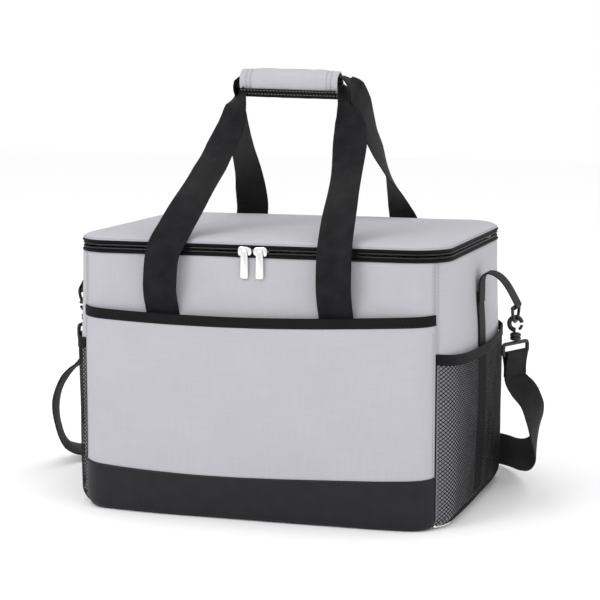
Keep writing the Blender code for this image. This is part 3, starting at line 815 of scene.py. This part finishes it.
def make_lid():
    """The lid's cloth: rings that rise from the rim by LID_PROFILE, then draw in over the crown."""
    outline = rounded_path(0, LID_COUNT)
    base = LID_LOW.z
    rings = [[p - out * inset + UP * (base + rise) for p, out in outline] for inset, rise in LID_PROFILE]
    last = rings[-1]
    for share in LID_SHARES:
        level = base + LID_PROFILE[-1][1] + LID_CROWN * (1 - share)
        rings.append([Vector((p.x * share, p.y * share, level)) for p in last])
    points = []
    for p in (p for ring in rings for p in ring):
        inside = min(1.0, (HALF_Y - abs(p.y)) / 0.03, (HALF_X - abs(p.x)) / 0.03)
        soft = 0.0012 * ripple(p, 0.10, 5.2) + 0.0004 * ripple(p, 0.034, 1.9)
        points.append(p + UP * (soft * max(0, inside)))
    faces = grid_faces(len(rings), LID_COUNT, True) + end_faces(len(rings), LID_COUNT)[1:]
    made = piece_from("lid_cloth", points, faces, "grey", "lid", ("lid_shell",), [(p.x, p.y) for p in points])
    thicken(made, 0.0011)
    rim = [(p - out * 0.0004 + UP * (base + 0.0022), out, UP) for p, out in rounded_path(0, 700)]
    stitches("lid_rim_stitches", stitch_line(rim, 0.0002, 0.0004), "thread_grey", "lid")


def make_lining():
    """Foil lining: walls and floor in one creased sheet, and the lid's lining."""
    count = 200
    outline = rounded_path(0.0076, count)
    rows = []
    for z in even(26, LINING_FLOOR, WALL_TOP):
        loose = 0.001 * math.sin(math.pi * min(max(z / WALL_TOP, 0), 1))
        rows.append([p + UP * z - out * (0.0012 + loose * ripple(p + UP * z, 0.035, 4.4))
                     for p, out in outline])
    floor = [[Vector((p.x * s, p.y * s, LINING_FLOOR)) for p in rows[0]] for s in (0.02, 0.3, 0.6, 0.85)]
    rows = floor + rows
    points = [p for row in rows for p in row]
    faces = [tuple(range(count))] + grid_faces(len(rows), count, True)
    made = piece_from("lining_foil", points, faces, "foil", "bag_body", ("liner",),
                      [(p.x + p.y, p.z) for p in points])
    thicken(made, LINING_THICK, 1)
    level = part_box("lid_liner")[0].z - LINING_THICK
    inset = 0.005
    flat_y, radius = HALF_Y - ZIP_CORNER, ZIP_CORNER - inset
    rows = []
    for step in even(61, 1.0, -1.0):
        y = (HALF_Y - inset) * math.sin(step * math.pi / 2)
        past = max(0.0, abs(y) - flat_y)
        half = HALF_X - ZIP_CORNER + math.sqrt(max(0.0, radius ** 2 - past ** 2))
        flat = [Vector((half * t, y, level)) for t in even(81)]
        rows.append([p + UP * (0.0006 * ripple(p, 0.05, 7)) for p in flat])
    sheet_piece("lid_lining_foil", rows, "foil", "lid", ("lid_liner",), LINING_THICK)


# ---------------- handles and grip

def centre_of(name):
    low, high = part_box(name)
    return (low + high) / 2


# How each handle goes up from its roots: across, how far out from the middle, the height, how far
# its face has turned from front or back towards the nearer end in degrees, and its width
HANDLE_RISE = {
    ("front", "left"): (
        (-0.099, 0.1655, 0.255, 0, 0.038), (-0.096, 0.1635, 0.285, 0, 0.038),
        (-0.0875, 0.15, 0.309, 0, 0.038), (-0.0803, 0.119, 0.3375, 0, 0.038),
        (-0.0783, 0.065, 0.368, 0, 0.038), (-0.0765, 0.03, 0.392, 6, 0.038),
        (-0.071, 0.0115, 0.417, 18, 0.036), (-0.0668, 0.0085, 0.436, 32, 0.034),
        (-0.065, 0.002, 0.449, 50, 0.033)),
    ("front", "right"): (
        (0.0925, 0.1655, 0.255, 0, 0.038), (0.0925, 0.1635, 0.285, 0, 0.038),
        (0.091, 0.15, 0.309, 0, 0.038), (0.0872, 0.119, 0.3375, 0, 0.038),
        (0.0782, 0.065, 0.368, 0, 0.038), (0.071, 0.03, 0.392, 8, 0.038),
        (0.0665, 0.0115, 0.417, 30, 0.035), (0.06, 0.007, 0.436, 62, 0.026),
        (0.0562, 0.001, 0.448, 74, 0.028)),
    ("back", "left"): (
        (-0.113, 0.1655, 0.255, 0, 0.038), (-0.1095, 0.165, 0.285, 8, 0.038),
        (-0.104, 0.156, 0.309, 20, 0.038), (-0.0985, 0.125, 0.345, 40, 0.038),
        (-0.0915, 0.088, 0.373, 55, 0.038), (-0.087, 0.064, 0.392, 62, 0.038),
        (-0.083, 0.044, 0.412, 68, 0.036), (-0.0787, 0.029, 0.432, 75, 0.03),
        (-0.0695, 0.01, 0.45, 85, 0.027)),
    ("back", "right"): (
        (0.0865, 0.1655, 0.255, 0, 0.038), (0.0845, 0.165, 0.285, 8, 0.038),
        (0.0815, 0.156, 0.309, 21, 0.038), (0.0785, 0.125, 0.345, 46, 0.038),
        (0.0768, 0.088, 0.373, 72, 0.038), (0.074, 0.064, 0.392, 84, 0.038),
        (0.0722, 0.044, 0.412, 98, 0.037), (0.0716, 0.025, 0.432, 108, 0.035),
        (0.068, 0.009, 0.45, 110, 0.033)),
}
# How it bends into the grip, the back handle over the front one: how far outside the grip's end,
# how far out from the middle, the height, how far its face has turned up, and its width
HANDLE_BEND = {
    ("front", "left"): ((0.0034, 0, 0.455, 40, 0.023), (-0.0005, 0, 0.4575, 72, 0.019),
                        (-0.0165, 0, 0.4568, 90, 0.018)),
    ("front", "right"): ((0.004, 0, 0.456, 40, 0.028), (-0.0005, 0, 0.4585, 72, 0.02),
                         (-0.0165, 0, 0.4568, 90, 0.018)),
    ("back", "left"): ((0.005, 0.002, 0.4605, 40, 0.025), (0.0015, 0, 0.4655, 70, 0.021),
                       (-0.015, 0, 0.4622, 90, 0.018)),
    ("back", "right"): ((0.01, 0, 0.4615, 35, 0.031), (0.0035, 0, 0.4665, 65, 0.025),
                        (-0.015, 0, 0.4622, 90, 0.018)),
}
PIVOT_Z = POCKET_TOP + 0.0013
# How much the webbing curls across its width where it is folded to nothing
HANDLE_CURL = 0.0036


def handle_half(face, hand):
    """The frame's webbing route from the sewn end below one root to inside the grip."""
    out = -1 if face == "front" else 1
    end = -1 if hand == "left" else 1
    root = centre_of(f"{face}_{hand}_handle_anchor").x
    mouth = (GRIP_LOW if hand == "left" else GRIP_HIGH).x
    hidden = HALF_Y + 0.0040
    sewn = ((hidden - 0.0005, 0.156), (hidden, 0.198), (hidden + 0.0002, 0.218),
            (hidden + 0.0079, 0.2375))
    made = [((root, out * away, z), (0, out, 0), WEBBING) for away, z in sewn]
    for x, away, z, turn, width in HANDLE_RISE[face, hand]:
        angle = math.radians(turn)
        made.append(((x, out * away, z), (end * math.sin(angle), out * math.cos(angle), 0), width))
    for beyond, away, z, tilt, width in HANDLE_BEND[face, hand]:
        angle = math.radians(tilt)
        place = (mouth + end * beyond, out * away, z)
        made.append((place, (end * math.cos(angle), 0, math.sin(angle)), width))
    return made


def make_handles():
    """The two handle straps and their sewn ends."""
    for face, sign in (("front", -1), ("back", 1)):
        route, looks, widths = zip(*(handle_half(face, "left") + handle_half(face, "right")[::-1]))
        stations, shares = ribbon_stations(route, looks)

        def section(index):
            width = between(widths, shares[index])
            return strip_section(width, WEBBING_THICK, EDGE, HANDLE_CURL * (1 - width / WEBBING))

        strap = sweep(f"{face}_handle_strap", stations, section, "webbing", None,
                      (f"{face}_handle_webbing",))
        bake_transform(strap)
        for hand in ("left", "right"):
            make_anchor(face, hand)


def make_anchor(face, hand):
    """The strap's sewn end: hidden behind the front pocket, plain to see on the back."""
    name = f"{face}_{hand}_handle_anchor"
    reach = HALF_X - BODY_CORNER + BODY_CORNER * math.pi / 4
    u = centre_of(name).x / reach
    if face == "front":
        stations = upright_stations(face, u, BAND_TOP + 0.004, 0.192, 60, 0.0022)
    else:
        stations = upright_stations(face, -u, BAND_TOP - 0.012, PIVOT_Z - 0.004, 60, 0.0022)
    sweep(f"{name}_strap", stations, strip_section(WEBBING, WEBBING_THICK), "webbing", "bag_body", (name,))
    if face == "back":
        half = WEBBING / 2 - 0.004
        places = stitch_line(stations, 0.0009, -half) + stitch_line(stations, 0.0009, half)
        for index in (53, 57):
            places += stitch_line(across_line(stations[index], half), 0.0009, 0)
        stitches(f"{name}_stitches", places, "thread_black", "bag_body")


# The right end of the grip hangs a little lower than the left
GRIP_TILT = 0.022
# The two rows of sewing near each end of the grip: how far in, and how wide a dip each pulls
GRIP_QUILTING = ((0.0075, 0.0022), (0.0125, 0.0020))


def grip_point(angle, grow, x):
    middle = (GRIP_LOW.z + GRIP_HIGH.z) / 2
    radius_z = (GRIP_HIGH.z - GRIP_LOW.z) / 2 + grow
    radius_y = GRIP_HIGH.y + grow
    drop = GRIP_TILT * (x - (GRIP_LOW.x + GRIP_HIGH.x) / 2)
    return Vector((x, radius_y * math.cos(angle), middle + radius_z * math.sin(angle) - drop))


def grip_shell(name, first, last, body, replaced):
    """A padded part of the grip's wrap. It puffs between its sewn ends."""
    low, high = GRIP_LOW.x, GRIP_HIGH.x
    across, along = 33, 90
    angles = [math.radians(angle) for angle in even(across, first, last)]
    arc = abs(angles[-1] - angles[0]) * 0.0145
    points, uvs = [], []
    for j, x in enumerate(even(along, low, high)):
        end = min(x - low, high - x)
        puff = 0.0016 * (1 - math.exp(-end / 0.010)) - 0.0006
        for row, width in GRIP_QUILTING:
            puff -= 0.0010 * math.exp(-((end - row) / width) ** 2)
        outer = []
        for angle in angles:
            seed = Vector((x * 1.4, math.cos(angle) * 0.014, math.sin(angle) * 0.014))
            outer.append(grip_point(angle, puff + 0.0007 * ripple(seed, 0.016, 2.2), x))
        points += outer + [grip_point(angle, -0.0024, x) for angle in angles[::-1]]
        around = [(arc * k / across, (high - low) * j / along) for k in range(across)]
        uvs += around + around[::-1]
    faces = grid_faces(along, 2 * across, True) + end_faces(along, 2 * across)
    made = closed_piece(name, points, faces, "grey", body, replaced, uvs, 60)


def make_grip():
    grip_shell("grip_back_pad", -75, 89.4, "back_handle", ("grip_wrap_base",))
    grip_shell("grip_front_pad", 90.6, 283.5, "grip_flap", ("grip_wrap_flap",))
    angle = math.radians(222)
    out = Vector((0, math.cos(angle) * 0.9, math.sin(angle))).normalized()
    stations = [(grip_point(angle, 0.0012, x), out, out.cross(RIGHT))
                for x in even(60, GRIP_LOW.x + 0.001, GRIP_HIGH.x - 0.001)]
    sweep("grip_tape", stations, strip_section(0.0130, 0.0012, 0.0004), "tape", "grip_flap",
          ("grip_loop_tape",))
    places = stitch_line(stations, 0.0007, 0.0048, 0.0034) + stitch_line(stations, 0.0007, -0.0010, 0.0034)
    stitches("grip_tape_stitches", places, "thread_grey", "grip_flap", 0.0024, 0.0003)
    for body, label, first, last in (("back_handle", "back", -60, 84), ("grip_flap", "front", 96, 205)):
        angles = [math.radians(angle) for angle in even(50, first, last)]
        places = []
        for row, _ in GRIP_QUILTING:
            for x in (GRIP_LOW.x + row, GRIP_HIGH.x - row):
                line = [(grip_point(angle, 0.0002, x), Vector((0, math.cos(angle), math.sin(angle))), RIGHT)
                        for angle in angles]
                places += stitch_line(line, 0, 0, 0.0034)
        stitches(f"grip_{label}_stitches", places, "thread_grey", body, 0.0023, 0.0003)


# ---------------- strap hardware

RING_WIRE = 0.00175
HOOK_WIRE = 0.0026
HOOK_RADIUS = 0.007
EYE_WIRE = 0.0022
SIDE_STRAP = 0.030
# How each side's loop leans out between its sewn part and the D-ring: across and height
LOOP_LEAN = {"left": [(0.219, 0.256), (0.232, 0.2542), (0.2455, 0.2435)],
             "right": [(0.219, 0.256), (0.23, 0.2542), (0.2412, 0.2435)]}
# The swivel's radius and height, from its top down
SWIVEL_PROFILE = (
    (0.0026, 0.0), (0.0042, -0.0003), (0.0055, -0.0012), (0.0060, -0.0022), (0.0060, -0.0036),
    (0.0053, -0.0041), (0.0053, -0.0048), (0.0060, -0.0053), (0.0060, -0.0070),
    (0.0054, -0.0081), (0.0038, -0.0089))


def bar_of(side):
    """The straight top bar of the D-ring, where the loop of webbing holds it."""
    low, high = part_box(f"{side}_d_ring")
    return Vector(((low.x + high.x) / 2, 0, high.z - RING_WIRE))


def wire(name, route, radius, look, body, replaced=(), closed=False, across=BACK):
    """A round bar along a flat route. Its radius may be a function of the place's number."""
    thick = radius if callable(radius) else (lambda index: radius)
    return sweep(name, flat_stations(route, across, closed), lambda index: round_section(thick(index), 12),
                 look, body, replaced, closed)


def arc_points(centre, radius, first, last, count, flip=1):
    """Points on an arc that stands across the depth, from angles in degrees."""
    made = []
    for angle in even(count, first, last):
        x, z = round_about(angle, radius)
        made.append(centre + Vector((flip * x, 0, z)))
    return made


def lathe(name, base, profile, look, body, replaced=(), squash=1.0):
    """A turned piece on an upright axis, from rows of radius and height."""
    sides = 28
    points = []
    for radius, z in profile:
        for k in range(sides):
            x, y = round_about(360 * k / sides, radius)
            points.append(base + Vector((x * squash, y, z)))
    faces = grid_faces(len(profile), sides, True) + end_faces(len(profile), sides)
    return closed_piece(name, points, faces, look, body, replaced, [(p.x, p.z) for p in points], 40)


def make_side_webbing():
    """The webbing up the middle of each side, sewn across below its free loop."""
    half = SIDE_STRAP / 2 - 0.003
    for side in ("left", "right"):
        stations = upright_stations(side, 0, 0.012, 0.2355, 70, 0.0018)
        sweep(f"{side}_webbing_strip", stations, strip_section(SIDE_STRAP, 0.0015), "webbing",
              "bag_body", (f"{side}_side_webbing",))
        places = []
        for index in (65, 59):
            places += stitch_line(across_line(stations[index], half), 0.0008, 0)
        for edge in (-half, half):
            places += stitch_line(stations[60:67], 0.0008, edge)
        stitches(f"{side}_webbing_stitches", places, "thread_black", "bag_body")


def make_loop_tab(side, sign):
    """Webbing sewn to the side, which rises, leans out, holds the D-ring and comes back in."""
    bar = bar_of(side)
    skin = surface(side, 0, 0.233, 0.0034)[0].x * sign
    rise = [(skin, 0.223), (skin + 0.0002, 0.237), (skin + 0.0008, 0.249)] + LOOP_LEAN[side]
    for angle in even(7, 40, -160):
        x, z = round_about(angle, RING_WIRE + 0.0012)
        rise.append((bar.x * sign + x, bar.z + z))
    places = smooth_route([(sign * x, 0, z) for x, z in rise], 0.0012)[0]
    made = sweep(f"{side}_loop", flat_stations(places, BACK), strip_section(SIDE_STRAP, 0.0013), "webbing",
                 None, (f"{side}_loop_tab",))
    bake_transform(made)


def make_hardware(side, sign):
    """The D-ring, the snap hook with its gate, the swivel and the strap eye."""
    bar = bar_of(side)
    ring_low, ring_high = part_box(f"{side}_d_ring")
    half = (ring_high.y - ring_low.y) / 2 - RING_WIRE
    low = ring_low.z + RING_WIRE
    route = [Vector((bar.x, y, bar.z)) for y in even(17, -half, half)]
    for k in range(1, 40):
        angle = math.pi * k / 40
        route.append(Vector((bar.x, half * math.cos(angle), bar.z - (bar.z - low) * math.sin(angle))))
    wire(f"{side}_ring", route, RING_WIRE, "plastic", "shoulder_strap", (f"{side}_d_ring",), True, RIGHT)
    centre = Vector((bar.x, 0, low - 0.0024))
    hook = arc_points(centre, HOOK_RADIUS, 12, 270, 44, sign)
    # The hook's wire thins towards its nose
    wire(f"{side}_snap_hook", hook, lambda index: HOOK_WIRE * min(0.82 + 0.18 * index / 6.45, 1), "plastic",
         "shoulder_strap", (f"{side}_hook",))
    wire(f"{side}_snap_gate", arc_points(centre, HOOK_RADIUS, -58, -10, 12, sign), 0.00168, "plastic",
         f"{side}_gate", (f"{side}_hook_gate",))
    top = centre.z - HOOK_RADIUS - 0.0025
    lathe(f"{side}_swivel_barrel", Vector((bar.x, 0, top)), SWIVEL_PROFILE, "plastic", "shoulder_strap",
          (f"{side}_swivel",))
    make_eye(side, bar.x, top)


def rounded_box(half, low, high, radius, steps):
    """Pairs round a box with rounded corners, from -half to half across and from low to high up."""
    made = []
    for sign, up, start in ((1, high - radius, 0), (-1, high - radius, 90), (-1, low + radius, 180),
                            (1, low + radius, 270)):
        for angle in even(steps, start, start + 90):
            a, b = round_about(angle, radius)
            made.append((sign * (half - radius) + a, up + b))
    return made


# How far the right swivel has turned its strap eye towards the front
EYE_TURN = {"left": 0.0, "right": math.atan(-0.45)}


def turned(made, x, angle):
    """Turns a piece's mesh about the upright line at x."""
    pin = Matrix.Translation((x, 0, 0))
    made.data.transform(pin @ Matrix.Rotation(angle, 4, "Z") @ pin.inverted())


def make_eye(side, x, swivel_top):
    """The strap eye below the swivel, and the strap's end sewn round it."""
    high = swivel_top - 0.0093 - EYE_WIRE
    low = high - 0.012
    points = [Vector((x, y, z)) for y, z in rounded_box(WEBBING / 2 + 0.0034, low, high, 0.0035, 7)]
    eye = wire(f"{side}_eye", points, EYE_WIRE, "plastic", "shoulder_strap", (f"{side}_strap_eye",), True,
               RIGHT)
    down = ((0.0013, low - 0.024), (0.0014, low - 0.012))
    route = [Vector((x - away, 0, z)) for away, z in down]
    route += arc_points(Vector((x, 0, low)), EYE_WIRE + 0.0013, 200, -20, 15)
    route += [Vector((x + away, 0, z)) for away, z in down[::-1]]
    stations = flat_stations(smooth_route(route, 0.0012)[0], BACK)
    loop = sweep(f"{side}_strap_end_loop", stations, strip_section(WEBBING, 0.0013, 0.0005), "webbing",
                 "shoulder_strap", (f"{side}_strap_loop",))
    half = WEBBING / 2 - 0.0035
    top, foot = low - 0.0095, low - 0.0205
    places = []
    for face in (-1, 1):
        out = Vector((face, 0, 0))
        skin = x + face * 0.0021
        for z in (top, foot):
            places += stitch_line([(Vector((skin, y, z)), out, UP) for y in even(30, -half, half)], 0, 0)
        for y in (-half, half):
            places += stitch_line([(Vector((skin, y, z)), out, BACK) for z in even(14, foot, top)], 0, 0)
    thread = stitches(f"{side}_strap_end_stitches", places, "thread_black", "shoulder_strap")
    for made in (eye, loop, thread):
        turned(made, x, EYE_TURN[side])


# ---------------- shoulder strap

# The way the strap hangs: a point of its middle line, and the way its face looks
STRAP_ROUTE = (
    ((0.251, 0, 0.1422), (1, -0.45, 0)), ((0.2565, 0, 0.1335), (1, -0.45, 0)),
    ((0.2665, 0.002, 0.121), (1, -0.45, 0)), ((0.2725, 0.007, 0.103), (1, -0.42, 0)),
    ((0.272, 0.023, 0.081), (1, -0.25, 0)), ((0.266, 0.052, 0.058), (1, 0.15, 0)),
    ((0.251, 0.092, 0.038), (1, 0.45, 0)), ((0.231, 0.138, 0.026), (0.9, 0.7, 0)),
    ((0.205, 0.18, 0.0215), (0.6, 0.9, 0)), ((0.165, 0.204, 0.021), (0.25, 1, 0)),
    ((0.11, 0.213, 0.021), (0.03, 1, 0)), ((0.05, 0.214, 0.021), (0, 1, 0)),
    ((0, 0.214, 0.021), (0, 1, 0)), ((-0.06, 0.214, 0.021), (0, 1, 0)),
    ((-0.1, 0.214, 0.0203), (0, 0.95, -0.25)), ((-0.135, 0.211, 0.0165), (0, 0.75, -0.6)),
    ((-0.17, 0.202, 0.01), (-0.1, 0.35, -0.9)), ((-0.21, 0.184, 0.0045), (-0.1, 0, -1)),
    ((-0.25, 0.152, 0.0035), (-0.1, -0.05, -1)), ((-0.283, 0.112, 0.005), (-0.2, -0.1, -1)),
    ((-0.302, 0.074, 0.013), (-0.4, -0.2, -0.8)), ((-0.3075, 0.043, 0.0333), (-0.9, -0.3, -0.3)),
    ((-0.305, 0.021, 0.0626), (-1, -0.28, -0.05)), ((-0.298, 0.008, 0.092), (-1, -0.1, 0.1)),
    ((-0.2815, 0.001, 0.119), (-1, 0, 0.3)), ((-0.264, 0, 0.1332), (-1, 0, 0.2)),
    ((-0.256, 0, 0.1422), (-1, 0, 0)),
)


def make_strap():
    """The shoulder strap, whose ends go up into the loops round the strap eyes."""
    points, looks = zip(*STRAP_ROUTE)
    tuck = UP * 0.008
    points = [Vector(points[0]) + tuck, *points, Vector(points[-1]) + tuck]
    looks = [looks[0], *looks, looks[-1]]
    stations = ribbon_stations(points, looks, 0.003)[0]
    strap = sweep("shoulder_strap_webbing", stations, strip_section(WEBBING, WEBBING_THICK), "webbing",
                  "shoulder_strap", ("shoulder_webbing",))
    make_adjuster()


def make_adjuster():
    """The adjuster: a moulded sleeve with rounded corners."""
    low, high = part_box("strap_adjuster")
    middle = (low + high) / 2
    half_z = (high.z - low.z) / 2 - 0.0012
    route = [middle + Vector((x, 0, z))
             for x, z in rounded_box((high.x - low.x) / 2, -half_z, half_z, 0.003, 6)]
    sweep("adjuster_frame", flat_stations(route, BACK, True), strip_section(high.y - low.y, 0.0022, 0.0009),
          "plastic", "adjuster", ("strap_adjuster",), True)


# ---------------- sliders and pulls

# A slider plate's rings: scale, and depth as a share of its thickness
SLIDER_RINGS = ((0.90, -0.5), (0.98, -0.34), (1.0, 0.0), (0.98, 0.34), (0.90, 0.5))
# A pull's rings: scale across, scale up, and depth as a share of its thickness
PULL_RINGS = ((0.62, 0.93, -0.50), (0.80, 0.965, -0.36), (0.97, 0.995, -0.05), (1.0, 1.0, 0.12),
              (0.97, 0.99, 0.40), (0.88, 0.975, 0.50))


def boxy_round(count, across, up):
    """Pairs from -1 to 1 round a loop. The smaller the two powers, the squarer it is."""
    made = []
    for k in range(count):
        c, s = round_about(360 * k / count)
        made.append((math.copysign(abs(c) ** across, c), math.copysign(abs(s) ** up, s)))
    return made


def chrome_plate(name, middle, outline, rings, body, replaced, sharp):
    """A chrome plate: its outline at each ring, given as scale across, scale up, and y."""
    points = [Vector((middle.x + x * across, y, middle.z + z * up))
              for across, up, y in rings for x, z in outline]
    faces = grid_faces(len(rings), len(outline), True) + end_faces(len(rings), len(outline))
    closed_piece(name, points, faces, "chrome", body, replaced, [(p.x, p.z) for p in points], sharp)


def make_slider(side, sign):
    """A chrome slider: two rounded plates that taper away from the middle, and a bridge."""
    low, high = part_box(f"{side}_zip_slider")
    middle = (low + high) / 2
    half_x = (high.x - low.x) / 2 + 0.0015
    half_z = (high.z - low.z) / 2 - 0.0003
    outline = [(half_x * x, half_z * (0.89 + 0.11 * x * sign) * z) for x, z in boxy_round(40, 0.55, 0.55)]
    for label, y, thick, replaced in (("front", low.y + 0.0008, 0.0014, (f"{side}_zip_slider",)),
                                      ("back", high.y - 0.0007, 0.0012, ())):
        rings = [(scale, scale, y + depth * thick) for scale, depth in SLIDER_RINGS]
        chrome_plate(f"{side}_slider_{label}_plate", middle, outline, rings, f"{side}_slider", replaced, 40)
    lathe(f"{side}_slider_bridge", Vector((middle.x, middle.y, middle.z - 0.0030)),
          ((0.0010, 0.0), (0.0013, 0.0004), (0.0013, 0.0056), (0.0010, 0.0060)), "chrome",
          f"{side}_slider", squash=1.6)


def make_pull(side):
    """A solid chrome pull: a flat bar with bevelled edges that widens a little towards its foot."""
    low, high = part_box(f"{side}_zip_pull")
    middle = (low + high) / 2
    half_x = (high.x - low.x) / 2
    half_z = (high.z - low.z) / 2
    outline = [(half_x * (0.93 - 0.07 * z) * x, half_z * z) for x, z in boxy_round(64, 0.45, 0.30)]
    rings = [(across, up, middle.y + depth * (high.y - low.y)) for across, up, depth in PULL_RINGS]
    chrome_plate(f"{side}_pull_plate", middle, outline, rings, f"{side}_pull", (f"{side}_zip_pull",), 18)
    top = Vector((middle.x, low.y + 0.0003, high.z - 0.0012))
    wire(f"{side}_pull_eye", arc_points(top, 0.0019, -20, 200, 16), 0.0008, "chrome", f"{side}_pull")


def dress_frame():
    """Gives the nodes that stay as they are a proper material."""
    for name in ("front_foam", "back_foam", "left_foam", "right_foam", "bottom_foam", "lid_foam"):
        for mesh_slot in bpy.data.objects[name].material_slots:
            mesh_slot.material = MATERIALS["foam"]


def build():
    dress_frame()
    make_shell()
    make_side_pockets()
    make_side_webbing()
    make_zip()
    make_lid()
    make_lining()
    make_handles()
    make_grip()
    for side, sign in (("left", -1), ("right", 1)):
        make_loop_tab(side, sign)
        make_hardware(side, sign)
        make_slider(side, sign)
        make_pull(side)
    make_strap()


build()
look_from(math.radians(17.37), math.radians(7.70), 2.179, (0.0049, 0, 0.2171), 116.16)
studio()
